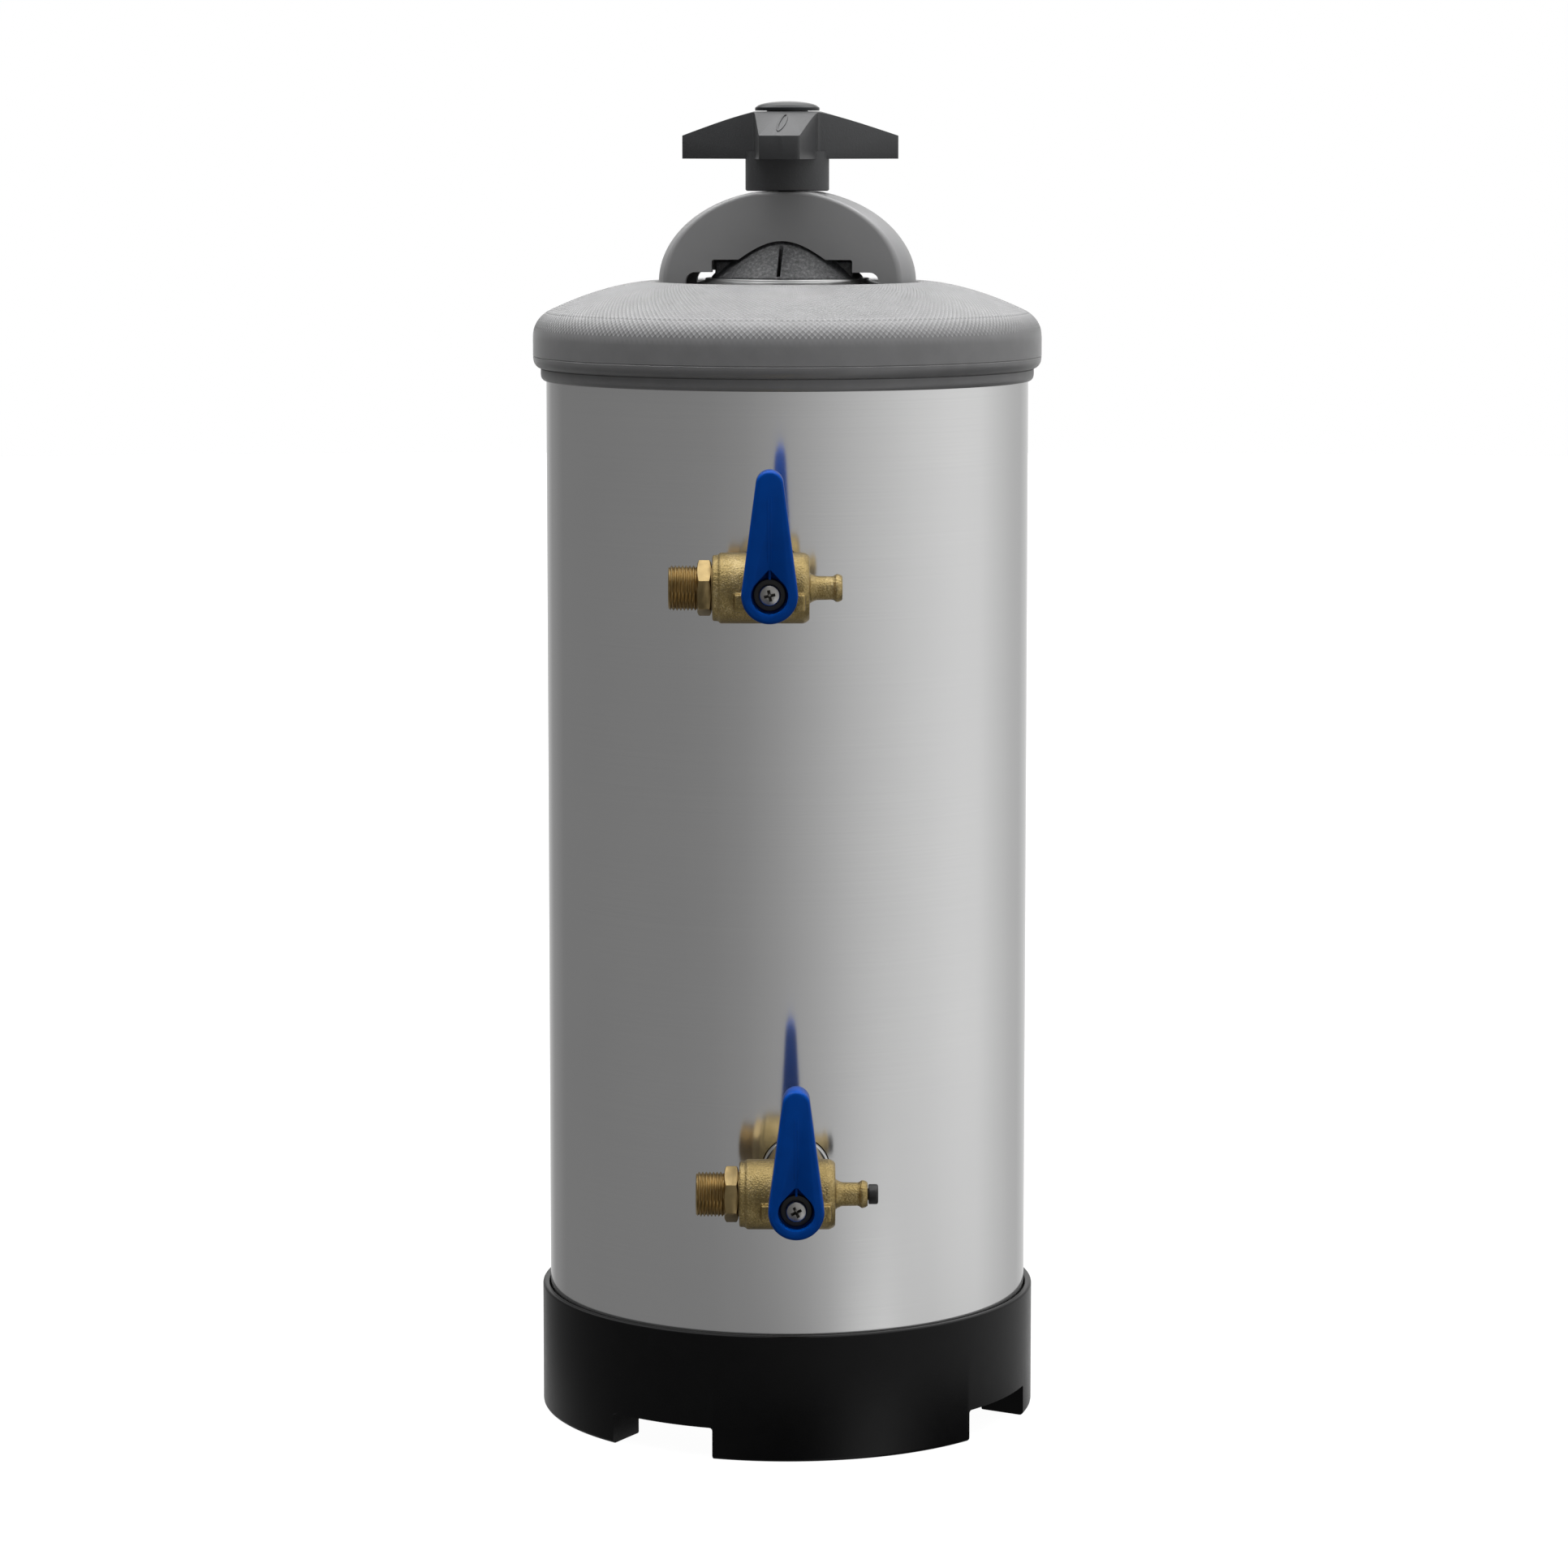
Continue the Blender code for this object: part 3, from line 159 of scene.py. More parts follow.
def prism(name, outline, low, high, matrix, edge=0.0, segments=3):
    """A flat outline raised between two heights, with rounded rims."""
    bm = bmesh.new()
    face = bm.faces.new([bm.verts.new((x, y, high)) for x, y in outline])
    raised = bmesh.ops.extrude_face_region(bm, geom=[face], use_keep_orig=True)
    for item in raised["geom"]:
        if isinstance(item, bmesh.types.BMVert):
            item.co.z = low
    bmesh.ops.recalc_face_normals(bm, faces=bm.faces)
    if edge:
        rims = [e for e in bm.edges if abs(e.verts[0].co.z - e.verts[1].co.z) < TOUCHING]
        bmesh.ops.bevel(bm, geom=rims, offset=edge, segments=segments, profile=0.5, affect="EDGES",
                        clamp_overlap=True)
    bmesh.ops.transform(bm, matrix=matrix, verts=bm.verts)
    bmesh.ops.recalc_face_normals(bm, faces=bm.faces)
    mesh = bpy.data.meshes.new(name)
    bm.to_mesh(mesh)
    bm.free()
    return smoothed(mesh)


def block(name, low, high, matrix, edge, segments=3):
    """A box between two corners; edge is the rounding of all its edges, which may be 0."""
    bm = bmesh.new()
    bmesh.ops.create_cube(bm, size=1.0)
    for vert in bm.verts:
        for axis in range(3):
            vert.co[axis] = low[axis] if vert.co[axis] < 0 else high[axis]
    if edge:
        bmesh.ops.bevel(bm, geom=list(bm.edges), offset=edge, segments=segments, profile=0.5,
                        affect="EDGES", clamp_overlap=True)
    bmesh.ops.transform(bm, matrix=matrix, verts=bm.verts)
    mesh = bpy.data.meshes.new(name)
    bm.to_mesh(mesh)
    bm.free()
    return smoothed(mesh)


def loft(name, rings, sharp=SHARP):
    """Closed rings of points joined in order, with the end rings filled."""
    count = len(rings[0])
    verts = [p for ring in rings for p in ring]
    faces = []
    for k in range(len(rings) - 1):
        for i in range(count):
            after = (i + 1) % count
            near, far = k * count, (k + 1) * count
            faces.append((near + i, far + i, far + after, near + after))
    faces.append(tuple(range(count)))
    faces.append(tuple(reversed(range((len(rings) - 1) * count, len(rings) * count))))
    return make_mesh(name, verts, faces, sharp)


def applied(obj):
    """Bake an object's modifiers into its mesh."""
    depsgraph = bpy.context.evaluated_depsgraph_get()
    mesh = bpy.data.meshes.new_from_object(obj.evaluated_get(depsgraph))
    obj.modifiers.clear()
    obj.data = mesh
    return mesh


def carve(mesh, steps, sharp=SHARP, remesh=0.0, bevel=0.0):
    """Cut tool meshes from a mesh or join them to it, given (operation, tool) steps.

    A bevel width rounds the sharp edges, and a remesh size makes the whole like a casting.
    """
    obj = bpy.data.objects.new("carved", mesh)
    bpy.context.scene.collection.objects.link(obj)
    tools = []
    for operation, tool_mesh in steps:
        tool = bpy.data.objects.new("tool", tool_mesh)
        bpy.context.scene.collection.objects.link(tool)
        tools.append(tool)
        modifier = obj.modifiers.new("cut", "BOOLEAN")
        modifier.operation = operation
        modifier.solver = "EXACT"
        modifier.object = tool
    if bevel:
        modifier = obj.modifiers.new("edges", "BEVEL")
        modifier.width = bevel
        modifier.segments = 2
        modifier.limit_method = "ANGLE"
        modifier.angle_limit = math.radians(40)
    if remesh:
        modifier = obj.modifiers.new("voxels", "REMESH")
        modifier.mode = "VOXEL"
        modifier.voxel_size = remesh
        modifier = obj.modifiers.new("soften", "SMOOTH")
        modifier.factor = 0.5
        modifier.iterations = 3
    bpy.context.view_layer.update()
    mesh = applied(obj)
    for extra in tools + [obj]:
        bpy.data.objects.remove(extra)
    return smoothed(mesh, sharp)


def piece(name, mesh, material, body, stands_for):
    """A new piece that rides on a CAD body and stands for CAD nodes."""
    obj = bpy.data.objects.new(name, mesh)
    bpy.context.scene.collection.objects.link(obj)
    mesh.materials.clear()
    mesh.materials.append(material)
    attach(obj, body)
    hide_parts(*stands_for)


# Materials

def node(tree, kind, links=None, **settings):
    """A shader node with settings and socket values; links maps its inputs to other nodes' outputs."""
    made = tree.nodes.new(kind)
    for key, value in settings.items():
        if hasattr(made, key):
            setattr(made, key, value)
        else:
            made.inputs[key.replace("_", " ")].default_value = value
    for key, output in (links or {}).items():
        tree.links.new(output, made.inputs[key])
    return made


def surface(name, color, roughness, metallic=0.0, **sockets):
    """A Principled material and its parts: (material, tree, shader, object coordinates)."""
    material = bpy.data.materials.new(name)
    material.use_nodes = True
    tree = material.node_tree
    shader = tree.nodes["Principled BSDF"]
    shader.inputs["Base Color"].default_value = (*color, 1.0)
    shader.inputs["Roughness"].default_value = roughness
    shader.inputs["Metallic"].default_value = metallic
    for key, value in sockets.items():
        shader.inputs[key.replace("_", " ")].default_value = value
    coordinates = tree.nodes.new("ShaderNodeTexCoord").outputs["Object"]
    return material, tree, shader, coordinates


def noise(tree, coordinates, scale, detail=2.0, stretch=(1.0, 1.0, 1.0), rough=0.5):
    """A noise's value, with the coordinates stretched along the axes first."""
    mapping = node(tree, "ShaderNodeMapping", {"Vector": coordinates})
    mapping.inputs["Scale"].default_value = stretch
    made = node(tree, "ShaderNodeTexNoise", {"Vector": mapping.outputs["Vector"]})
    made.inputs["Scale"].default_value = scale
    made.inputs["Detail"].default_value = detail
    made.inputs["Roughness"].default_value = rough
    return made.outputs["Fac"]


def ramp(tree, value, stops):
    """A colour ramp from (position, colour) stops."""
    made = node(tree, "ShaderNodeValToRGB", {"Fac": value})
    band = made.color_ramp
    while len(band.elements) > 1:
        band.elements.remove(band.elements[-1])
    for i, (position, color) in enumerate(stops):
        element = band.elements[0] if i == 0 else band.elements.new(position)
        element.position = position
        element.color = (*color, 1.0)
    return made.outputs["Color"]


def maths(tree, operation, first, second):
    """The result of an operation on two values, each a number or another node's output."""
    made = node(tree, "ShaderNodeMath", operation=operation)
    for socket, value in zip(made.inputs, (first, second)):
        if isinstance(value, float):
            socket.default_value = value
        else:
            tree.links.new(value, socket)
    return made.outputs["Value"]


def blend(tree, factor, first, second):
    """One colour changing to another as a factor goes from 0 to 1."""
    made = node(tree, "ShaderNodeMix", {"Factor": factor}, data_type="RGBA")
    tree.links.new(first, made.inputs[6])       # the colour A; inputs 0 to 5 are for other types
    if isinstance(second, tuple):
        made.inputs[7].default_value = second   # the colour B
    else:
        tree.links.new(second, made.inputs[7])
    return made.outputs[2]                      # the mixed colour


def spread(tree, value, low, high, within=(0.0, 1.0)):
    """A value spread between two numbers, from its own range."""
    made = node(tree, "ShaderNodeMapRange", {"Value": value})
    made.inputs["From Min"].default_value = within[0]
    made.inputs["From Max"].default_value = within[1]
    made.inputs["To Min"].default_value = low
    made.inputs["To Max"].default_value = high
    return made.outputs["Result"]


def bump(tree, shader, height, distance):
    """Turns the shader's normal as a relief would, whose height of 1 stands for a distance."""
    made = node(tree, "ShaderNodeBump", {"Height": height})
    made.inputs["Distance"].default_value = distance
    made.inputs["Strength"].default_value = 1.0
    tree.links.new(made.outputs["Normal"], shader.inputs["Normal"])


def shades(color, amount):
    """Darker and lighter versions of a colour."""
    return tuple(c * (1 - amount) for c in color), tuple(c * (1 + amount) for c in color)


def moulded(name, color, roughness, grain=900.0, depth=0.02, mottle=0.08, wear=140.0, **sockets):
    """Moulded plastic or rubber: fine grain, faint mottling and uneven gloss."""
    material, tree, shader, at = surface(name, color, roughness, **sockets)
    dark, light = shades(color, mottle)
    tint = ramp(tree, noise(tree, at, wear, 4.0), [(0.3, dark), (0.7, light)])
    tree.links.new(tint, shader.inputs["Base Color"])
    gloss = spread(tree, noise(tree, at, wear * 1.7, 3.0), roughness * 0.85, roughness * 1.15)
    tree.links.new(gloss, shader.inputs["Roughness"])
    bump(tree, shader, noise(tree, at, grain, 3.0), depth * MM)
    return material


def metal(name, color, roughness, grain=(1.0, 1.0, 1.0), scale=1500.0, depth=0.006, tint=0.06):
    """Turned or polished metal: tool marks along one axis and slight tarnish."""
    material, tree, shader, at = surface(name, color, roughness, 1.0)
    dark, light = shades(color, tint)
    stain = ramp(tree, noise(tree, at, 220.0, 3.0), [(0.35, dark), (0.65, light)])
    tree.links.new(stain, shader.inputs["Base Color"])
    gloss = spread(tree, noise(tree, at, 420.0, 2.0), roughness * 0.75, roughness * 1.25)
    tree.links.new(gloss, shader.inputs["Roughness"])
    bump(tree, shader, noise(tree, at, scale, 2.0, grain), depth * MM)
    return material


BASE_BLACK = moulded("base_polypropylene", (0.0035, 0.0035, 0.0037), 0.24, 700.0, 0.008, 0.15,
                     Specular_IOR_Level=0.17)
COVER_GREY = moulded("cover_plastic", (0.165, 0.165, 0.167), 0.36, 1100.0, 0.012, 0.05,
                     Sheen_Weight=0.20, Sheen_Roughness=0.30)
BRIDGE_GREY = moulded("bridge_plastic", (0.21, 0.21, 0.212), 0.30, 800.0, 0.006, 0.03, 22.0,
                      Sheen_Weight=0.10, Sheen_Roughness=0.30)
KNOB_BLACK = moulded("knob_nylon", (0.040, 0.041, 0.043), 0.38, 1300.0, 0.07, 0.08, 26.0)
CAP_BLACK = moulded("knob_cap_nylon", (0.014, 0.016, 0.018), 0.14, 600.0, 0.004, 0.10,
                    Specular_IOR_Level=0.35)
RUBBER = moulded("black_rubber", (0.014, 0.013, 0.013), 0.40, 1200.0, 0.03, 0.20)
SEAL_WHITE = moulded("white_seal", (0.72, 0.72, 0.69), 0.40, 700.0, 0.01, 0.04)
LEVER_BLUE = moulded("blue_nylon", (0.0, 0.038, 0.222), 0.30, 800.0, 0.008, 0.06,
                     Specular_IOR_Level=0.06)
POLISHED = metal("polished_steel", (0.66, 0.66, 0.65), 0.14)
SCREW_STEEL = metal("screw_steel", (0.42, 0.41, 0.39), 0.36)
NECK_STEEL = metal("neck_steel", (0.70, 0.70, 0.70), 0.34)
TURNED_BRASS = metal("turned_brass", (0.42, 0.31, 0.145), 0.36, (1.0, 0.05, 0.05), 2400.0, 0.02, 0.12)


def mottled_nylon():
    """Glass-filled nylon: pale flecks and streaks in a dark ground."""
    material, tree, shader, at = surface("lid_nylon", (0.03, 0.03, 0.03), 0.5)
    flecks = noise(tree, at, 850.0, 6.0, rough=0.7)
    ground = [(0.34, (0.020, 0.020, 0.021)), (0.50, (0.046, 0.047, 0.049)), (0.68, (0.105, 0.105, 0.11))]
    tree.links.new(ramp(tree, flecks, ground), shader.inputs["Base Color"])
    gloss = spread(tree, noise(tree, at, 300.0, 3.0), 0.34, 0.62)
    tree.links.new(gloss, shader.inputs["Roughness"])
    bump(tree, shader, noise(tree, at, 900.0, 4.0), 0.08 * MM)
    return material


def satin_steel():
    """Steel brushed round the tank: its highlights are drawn out along the height."""
    material, tree, shader, at = surface("satin_steel", (0.80, 0.80, 0.80), 0.12, 0.95, Anisotropic=0.55,
                                         Anisotropic_Rotation=0.25)
    tangent = node(tree, "ShaderNodeTangent", direction_type="RADIAL", axis="Z")
    tree.links.new(tangent.outputs["Tangent"], shader.inputs["Tangent"])
    streaks = noise(tree, at, 1.0, 3.0, (11.0, 11.0, 3800.0), 0.6)
    clouds = noise(tree, at, 14.0, 3.0)
    both = maths(tree, "MULTIPLY", streaks, clouds)
    tint = ramp(tree, both, [(0.1, (0.785, 0.785, 0.785)), (0.4, (0.815, 0.815, 0.812))])
    tree.links.new(tint, shader.inputs["Base Color"])
    tree.links.new(spread(tree, streaks, 0.11, 0.13), shader.inputs["Roughness"])
    bump(tree, shader, streaks, 0.0005 * MM)
    return material


def cast_brass():
    """Brass as it was cast and blasted: pitted, with painted shade darkening the hollows of the pits and a
    painted highlight lightening their high spots.
    """
    material, tree, shader, at = surface("cast_brass", (0.40, 0.305, 0.145), 0.38, 1.0)
    pits = noise(tree, at, 1500.0, 4.0, rough=0.55)
    patches = noise(tree, at, 130.0, 4.0)
    # The colour follows the pits' relief: darker in the hollows as painted shade, lighter on the high
    # spots as painted highlight, with random patches of tone.
    painted_pit_shade_and_patches = maths(tree, "MULTIPLY", maths(tree, "ADD", pits, patches), 0.5)
    stops = [(0.35, (0.30, 0.22, 0.085)), (0.52, (0.43, 0.32, 0.135)), (0.70, (0.66, 0.52, 0.27))]
    tree.links.new(ramp(tree, painted_pit_shade_and_patches, stops), shader.inputs["Base Color"])
    tree.links.new(spread(tree, patches, 0.26, 0.38), shader.inputs["Roughness"])
    bump(tree, shader, pits, 0.42 * MM)
    return material


def resin_beads():
    """Packed amber beads, about 0.7 mm each."""
    material, tree, shader, at = surface("resin_beads", (0.45, 0.25, 0.06), 0.35)
    beads = node(tree, "ShaderNodeTexVoronoi", {"Vector": at}, feature="F1")
    beads.inputs["Scale"].default_value = 1400.0
    # Each bead is painted lighter at its middle and darker towards the gaps between beads: painted light
    # and painted shade.
    painted_bead_shade = ramp(tree, beads.outputs["Distance"], [(0.0, (0.62, 0.36, 0.09)), (0.7, (0.22, 0.10, 0.02))])
    tree.links.new(painted_bead_shade, shader.inputs["Base Color"])
    bump(tree, shader, maths(tree, "SUBTRACT", 1.0, beads.outputs["Distance"]), 0.5 * MM)
    return material


LID_BLACK = mottled_nylon()
STEEL = satin_steel()
CAST_BRASS = cast_brass()
RESIN = resin_beads()


# Base

NOTCH_TURN = -30.4                      # degrees, from the front to the first of the four notches
NOTCH_HALF_WIDTH = 22.5 * MM
NOTCH_HEIGHT = 12.3 * MM


def build_base():
    """The moulded foot with its shelf and four notches."""
    profile = rounded(mm([
        (95.4, 49.2, 0.7),
        (98.1, 49.2, 0.9),
        (98.1, 0.0, 1.6),
        (80.0, 0.0, 0.6),
        (80.0, 13.7, 1.0),
        (70.0, 13.7, 0.8),
        (70.0, 17.4, 0.8),
        (95.4, 17.4),
    ]), True)
    mesh = lathe("base_foot_fine", profile, 224, True)
    tools = []
    for number in range(4):
        turned = Matrix.Rotation(math.radians(NOTCH_TURN + 90 * number), 4, "Z")
        low = (-NOTCH_HALF_WIDTH, -110 * MM, -10 * MM)
        high = (NOTCH_HALF_WIDTH, -65 * MM, NOTCH_HEIGHT)
        tools.append(("DIFFERENCE", block("notch", low, high, ON_AXIS @ turned, 1.1 * MM)))
    mesh = carve(mesh, tools)
    mesh.name = "base_foot_fine"
    piece("base_foot_fine", mesh, BASE_BLACK, "root", ["base_foot"])


# Tank

TANK_RADIUS = 95.0 * MM
TANK_INSIDE = 93.5 * MM
PORT_HOLE = 13.3 * MM                   # the radius of the hole that a valve's boss sits in
MOUTH_RADIUS = 35.6 * MM                # where the pressed top ends, at the neck
DOME_OUTSIDE = (93.2 * MM, 19.0 * MM)   # the pressed top's radius and rise
DOME_INSIDE = (91.7 * MM, 17.5 * MM)
DOME_SKIRT = 9 * MM


def round_normals(mesh, radius):
    """Custom normals that keep a cut tube evenly round on both of its sides."""
    normals = [Vector(corner.vector) for corner in mesh.corner_normals]
    for polygon in mesh.polygons:
        out = polygon.center - AXIS
        out.z = 0.0
        facing = polygon.normal.dot(out.normalized()) if out.length > radius * 0.9 else 0.0
        if abs(polygon.normal.z) > 0.05 or abs(facing) < 0.98:
            continue                    # an end, or the edge of a hole
        for loop in polygon.loop_indices:
            spoke = mesh.vertices[mesh.loops[loop].vertex_index].co - AXIS
            spoke.z = 0.0
            normals[loop] = spoke.normalized() * (1 if facing > 0 else -1)
    mesh.normals_split_custom_set([tuple(n) for n in normals])


def build_tank():
    """The brushed shell, its top end and the polished neck."""
    low, high = TANK_LOW.z, TANK_HIGH.z
    wall = rounded([
        (TANK_INSIDE, high, 0.3 * MM),
        (TANK_RADIUS, high, 0.3 * MM),
        (TANK_RADIUS, low, 0.3 * MM),
        (TANK_INSIDE, low, 0.3 * MM),
    ], True, 2)
    mesh = lathe("tank_shell_fine", wall, 288, True)
    tools = []
    for pivot in PIVOTS.values():
        place = Matrix.Translation((pivot.x, AXIS.y, pivot.z)) @ TO_FRONT
        hole = [(0.0, 75 * MM), (PORT_HOLE, 75 * MM), (PORT_HOLE, 110 * MM), (0.0, 110 * MM)]
        tools.append(("DIFFERENCE", lathe("port", hole, 64, matrix=place)))
    mesh = carve(mesh, tools)
    round_normals(mesh, TANK_RADIUS)
    piece("tank_shell_fine", mesh, STEEL, "root", ["tank_shell"])

    outer_end = math.degrees(math.acos(MOUTH_RADIUS / DOME_OUTSIDE[0]))
    inner_end = math.degrees(math.acos(MOUTH_RADIUS / DOME_INSIDE[0]))
    dome = arc((0.0, high), DOME_OUTSIDE, outer_end, 0, 28)
    dome += [(DOME_OUTSIDE[0], high - DOME_SKIRT), (DOME_INSIDE[0], high - DOME_SKIRT)]
    dome += arc((0.0, high), DOME_INSIDE, 0, inner_end, 28)
    mesh = lathe("tank_top_dome_fine", dome, 160, True)
    piece("tank_top_dome_fine", mesh, STEEL, "root", ["tank_top_dome"])

    neck = rounded(mm([
        (30.4, 450.5, 0.6),
        (32.3, 450.5, 0.5),
        (32.4, 449.6, 0.2),
        (36.2, 448.4, 0.9),
        (36.2, 447.2, 0.5),
        (35.2, 446.8, 0.3),
        (35.2, 440.0, 0.3),
        (30.4, 440.0, 0.3),
    ]), True)
    mesh = lathe("neck_ring_fine", neck, 160, True)
    piece("neck_ring_fine", mesh, NECK_STEEL, "root", ["neck_ring"])


# Cover

COVER_STEPS = 540                       # an even number, two facets to each diamond of the knurl
KNURL_DEPTH = 0.32 * MM
CROWN_TOP = 449.2 * MM
CROWN_FLAT = 53.0 * MM                  # the crown falls away outside this radius
CROWN_REACH = 37.4 * MM
CROWN_DROP = 9.9 * MM
SHOULDER = (89.2 * MM, 427.6 * MM)      # the centre of the rounded rim
SHOULDER_RADIUS = 11.0 * MM
SHOULDER_START = 62                     # degrees, where the crown meets it
COVER_WALL = 2.4 * MM


def crown(radius):
    """The height of the cover's top at a radius."""
    reach = max(radius - CROWN_FLAT, 0.0) / CROWN_REACH
    return CROWN_TOP - CROWN_DROP * reach ** 1.7


def knurled_line():
    """Points (radius, height) down the knurled part, about one facet's width apart."""
    end = SHOULDER[0] + SHOULDER_RADIUS * math.cos(math.radians(SHOULDER_START))
    dense = [(r, crown(r)) for r in np.linspace(53.8 * MM, end, 400)]
    dense += arc(SHOULDER, (SHOULDER_RADIUS, SHOULDER_RADIUS), SHOULDER_START, 2, 160)[1:]
    points = [dense[0]]
    travelled = 0.0
    for before, after in zip(dense, dense[1:]):
        travelled += math.hypot(after[0] - before[0], after[1] - before[1])
        if travelled >= 2 * math.pi * after[0] / COVER_STEPS:
            points.append(after)
            travelled = 0.0
    return points


def build_cover():
    """The knurled cover. Every other point of the knurl is pressed in, and grooves join them."""
    line = knurled_line()
    inward = []
    for i in range(len(line)):
        before, after = line[max(i - 1, 0)], line[min(i + 1, len(line) - 1)]
        along = np.array([after[0] - before[0], after[1] - before[1]])
        along /= np.linalg.norm(along)
        inward.append((along[1], -along[0]))
    plain_start = mm([(54.4, 441.6), (52.0, 441.6, 0.4), (52.0, 448.9, 1.3), (53.4, 449.15)])
    plain_start = rounded(plain_start, False)
    plain_end = mm([(100.2, 427.2), (100.2, 424.0), (100.2, 420.15)])
    plain_end += mm([(100.0, 419.95), (100.0, 419.8), (100.17, 419.6)])
    plain_end += arc((97.1 * MM, 419.4 * MM), (3.05 * MM, 4.1 * MM), 0, -84, 10)
    plain_end += mm([(96.9, 415.15), (97.15, 414.9), (97.15, 412.9)])
    plain_end += arc((95.5 * MM, 412.5 * MM), (1.6 * MM, 2.1 * MM), 0, -90, 6)
    plain_end += mm([(95.4, 410.6), (95.4, 417.4), (97.8, 420.8)])
    within = SHOULDER_RADIUS - COVER_WALL
    inside = arc(SHOULDER, (within, within), 0, SHOULDER_START, 8)
    inside += [(r, crown(r) - COVER_WALL) for r in np.linspace(92.0 * MM, 58.0 * MM, 12)]
    inside += mm([(54.4, 446.5)])
    profile = plain_start + line + plain_end + inside
    first, last = len(plain_start), len(plain_start) + len(line) - 1
    angles = 2 * math.pi * np.arange(COVER_STEPS) / COVER_STEPS
    verts = []
    for k, (radius, height) in enumerate(profile):
        for i, angle in enumerate(angles):
            r, z = radius, height
            if first < k < last and (k + i) % 2:
                r += inward[k - first][0] * KNURL_DEPTH
                z += inward[k - first][1] * KNURL_DEPTH
            verts.append(AXIS + Vector((r * math.cos(angle), r * math.sin(angle), z)))
    faces = []
    count = len(profile)
    for k in range(count):
        below = (k + 1) % count
        for i in range(COVER_STEPS):
            after = (i + 1) % COVER_STEPS
            a, b = k * COVER_STEPS + i, k * COVER_STEPS + after
            c, d = below * COVER_STEPS + after, below * COVER_STEPS + i
            if not first <= k < last:
                faces.append((a, b, c, d))
            elif (k + i) % 2:
                faces += [(a, b, d), (b, c, d)]
            else:
                faces += [(a, b, c), (a, c, d)]
    mesh = make_mesh("top_cover_fine", verts, faces, 30.0)
    piece("top_cover_fine", mesh, COVER_GREY, "root", ["top_cover"])


# Bridge, lid and knob

BRIDGE_HALF_DEPTH = 18.0 * MM
BRIDGE_WALL = 3.2 * MM
ARCH_CENTRE = 449.0 * MM                # the height that the arch springs from
ARCH_SPAN = 50.9 * MM
ARCH_RISE = 36.2 * MM
ARCH_WAIST = 4.5 * MM                   # how much narrower the arch is at its two faces
ARCH_TOP = 484.2 * MM                   # the arch's crown is cut flat here
ARCH_EDGE = 1.6 * MM
STUD_HOLE = 4.6 * MM
STUD_PITCH = 1.5 * MM                   # the stud has two threads, so its lead is twice this


def arch_rings(inset, foot):
    """Rings of an arch from side to side, narrower at its faces and rounded along their edges."""
    half_depth = BRIDGE_HALF_DEPTH - inset
    edge = max(ARCH_EDGE - inset, 0.4 * MM)
    near = [-half_depth + edge * (1 - math.cos(math.radians(15 * i))) for i in range(7)]
    stations = near + [-half_depth / 2, 0.0, half_depth / 2] + [-y for y in reversed(near)]
    rings = []
    for y in stations:
        past = max(abs(y) - (half_depth - edge), 0.0)
        rounding = edge - math.sqrt(max(edge * edge - past * past, 0.0))
        span = ARCH_SPAN - ARCH_WAIST * (y / BRIDGE_HALF_DEPTH) ** 2 - inset - rounding
        rise = ARCH_RISE - inset - rounding
        top = ARCH_TOP - inset - rounding
        section = [(span, foot)]
        section += [(x, min(z, top)) for x, z in arc((0.0, ARCH_CENTRE), (span, rise), 0, 180, 72)]
        section += [(-span, foot)]
        rings.append([ON_CLOSURE @ Vector((x, y, z)) for x, z in section])
    return rings


def opening(half_width, top, corner):
    """A tool that cuts an opening with rounded upper corners from front to back."""
    outline = rounded([
        (-half_width, 430 * MM), (half_width, 430 * MM),
        (half_width, top, corner), (-half_width, top, corner),
    ], True, 6)
    return prism("opening", outline, -30 * MM, 30 * MM, ON_CLOSURE @ TO_FRONT)


def build_bridge():
    """The hollow arch over the lid, and the pad under each of its legs."""
    mesh = loft("bridge_fine", arch_rings(0.0, 447.0 * MM))
    hollow = loft("hollow", arch_rings(BRIDGE_WALL, 440.0 * MM))
    room = [
        (0.0, 490 * MM),
        (STUD_HOLE, 490 * MM),
        (STUD_HOLE, 475.4 * MM),
        (8.4 * MM, 475.4 * MM),
        (30.9 * MM, 451.4 * MM),
        (30.9 * MM, 437 * MM),
        (0.0, 437 * MM),
    ]
    mesh = carve(mesh, [
        ("DIFFERENCE", hollow),
        ("DIFFERENCE", opening(38.0 * MM, 453.0 * MM, 3.6 * MM)),
        ("DIFFERENCE", opening(27.6 * MM, 457.9 * MM, 0.8 * MM)),
        ("DIFFERENCE", lathe("room", room, 96, matrix=ON_CLOSURE)),
    ])
    piece("bridge_fine", mesh, BRIDGE_GREY, "bridge", ["bridge"])
    for name, sign in (("left", -1), ("right", 1)):
        near, far = sorted((sign * 38.4 * MM, sign * 49.5 * MM))
        low, high = (near, -11 * MM, 442.8 * MM), (far, 11 * MM, 446.7 * MM)
        mesh = block("bridge_pad_%s_fine" % name, low, high, ON_CLOSURE, 0.9 * MM, 4)
        piece(mesh.name, mesh, RUBBER, "bridge", ["bridge_pad_" + name])


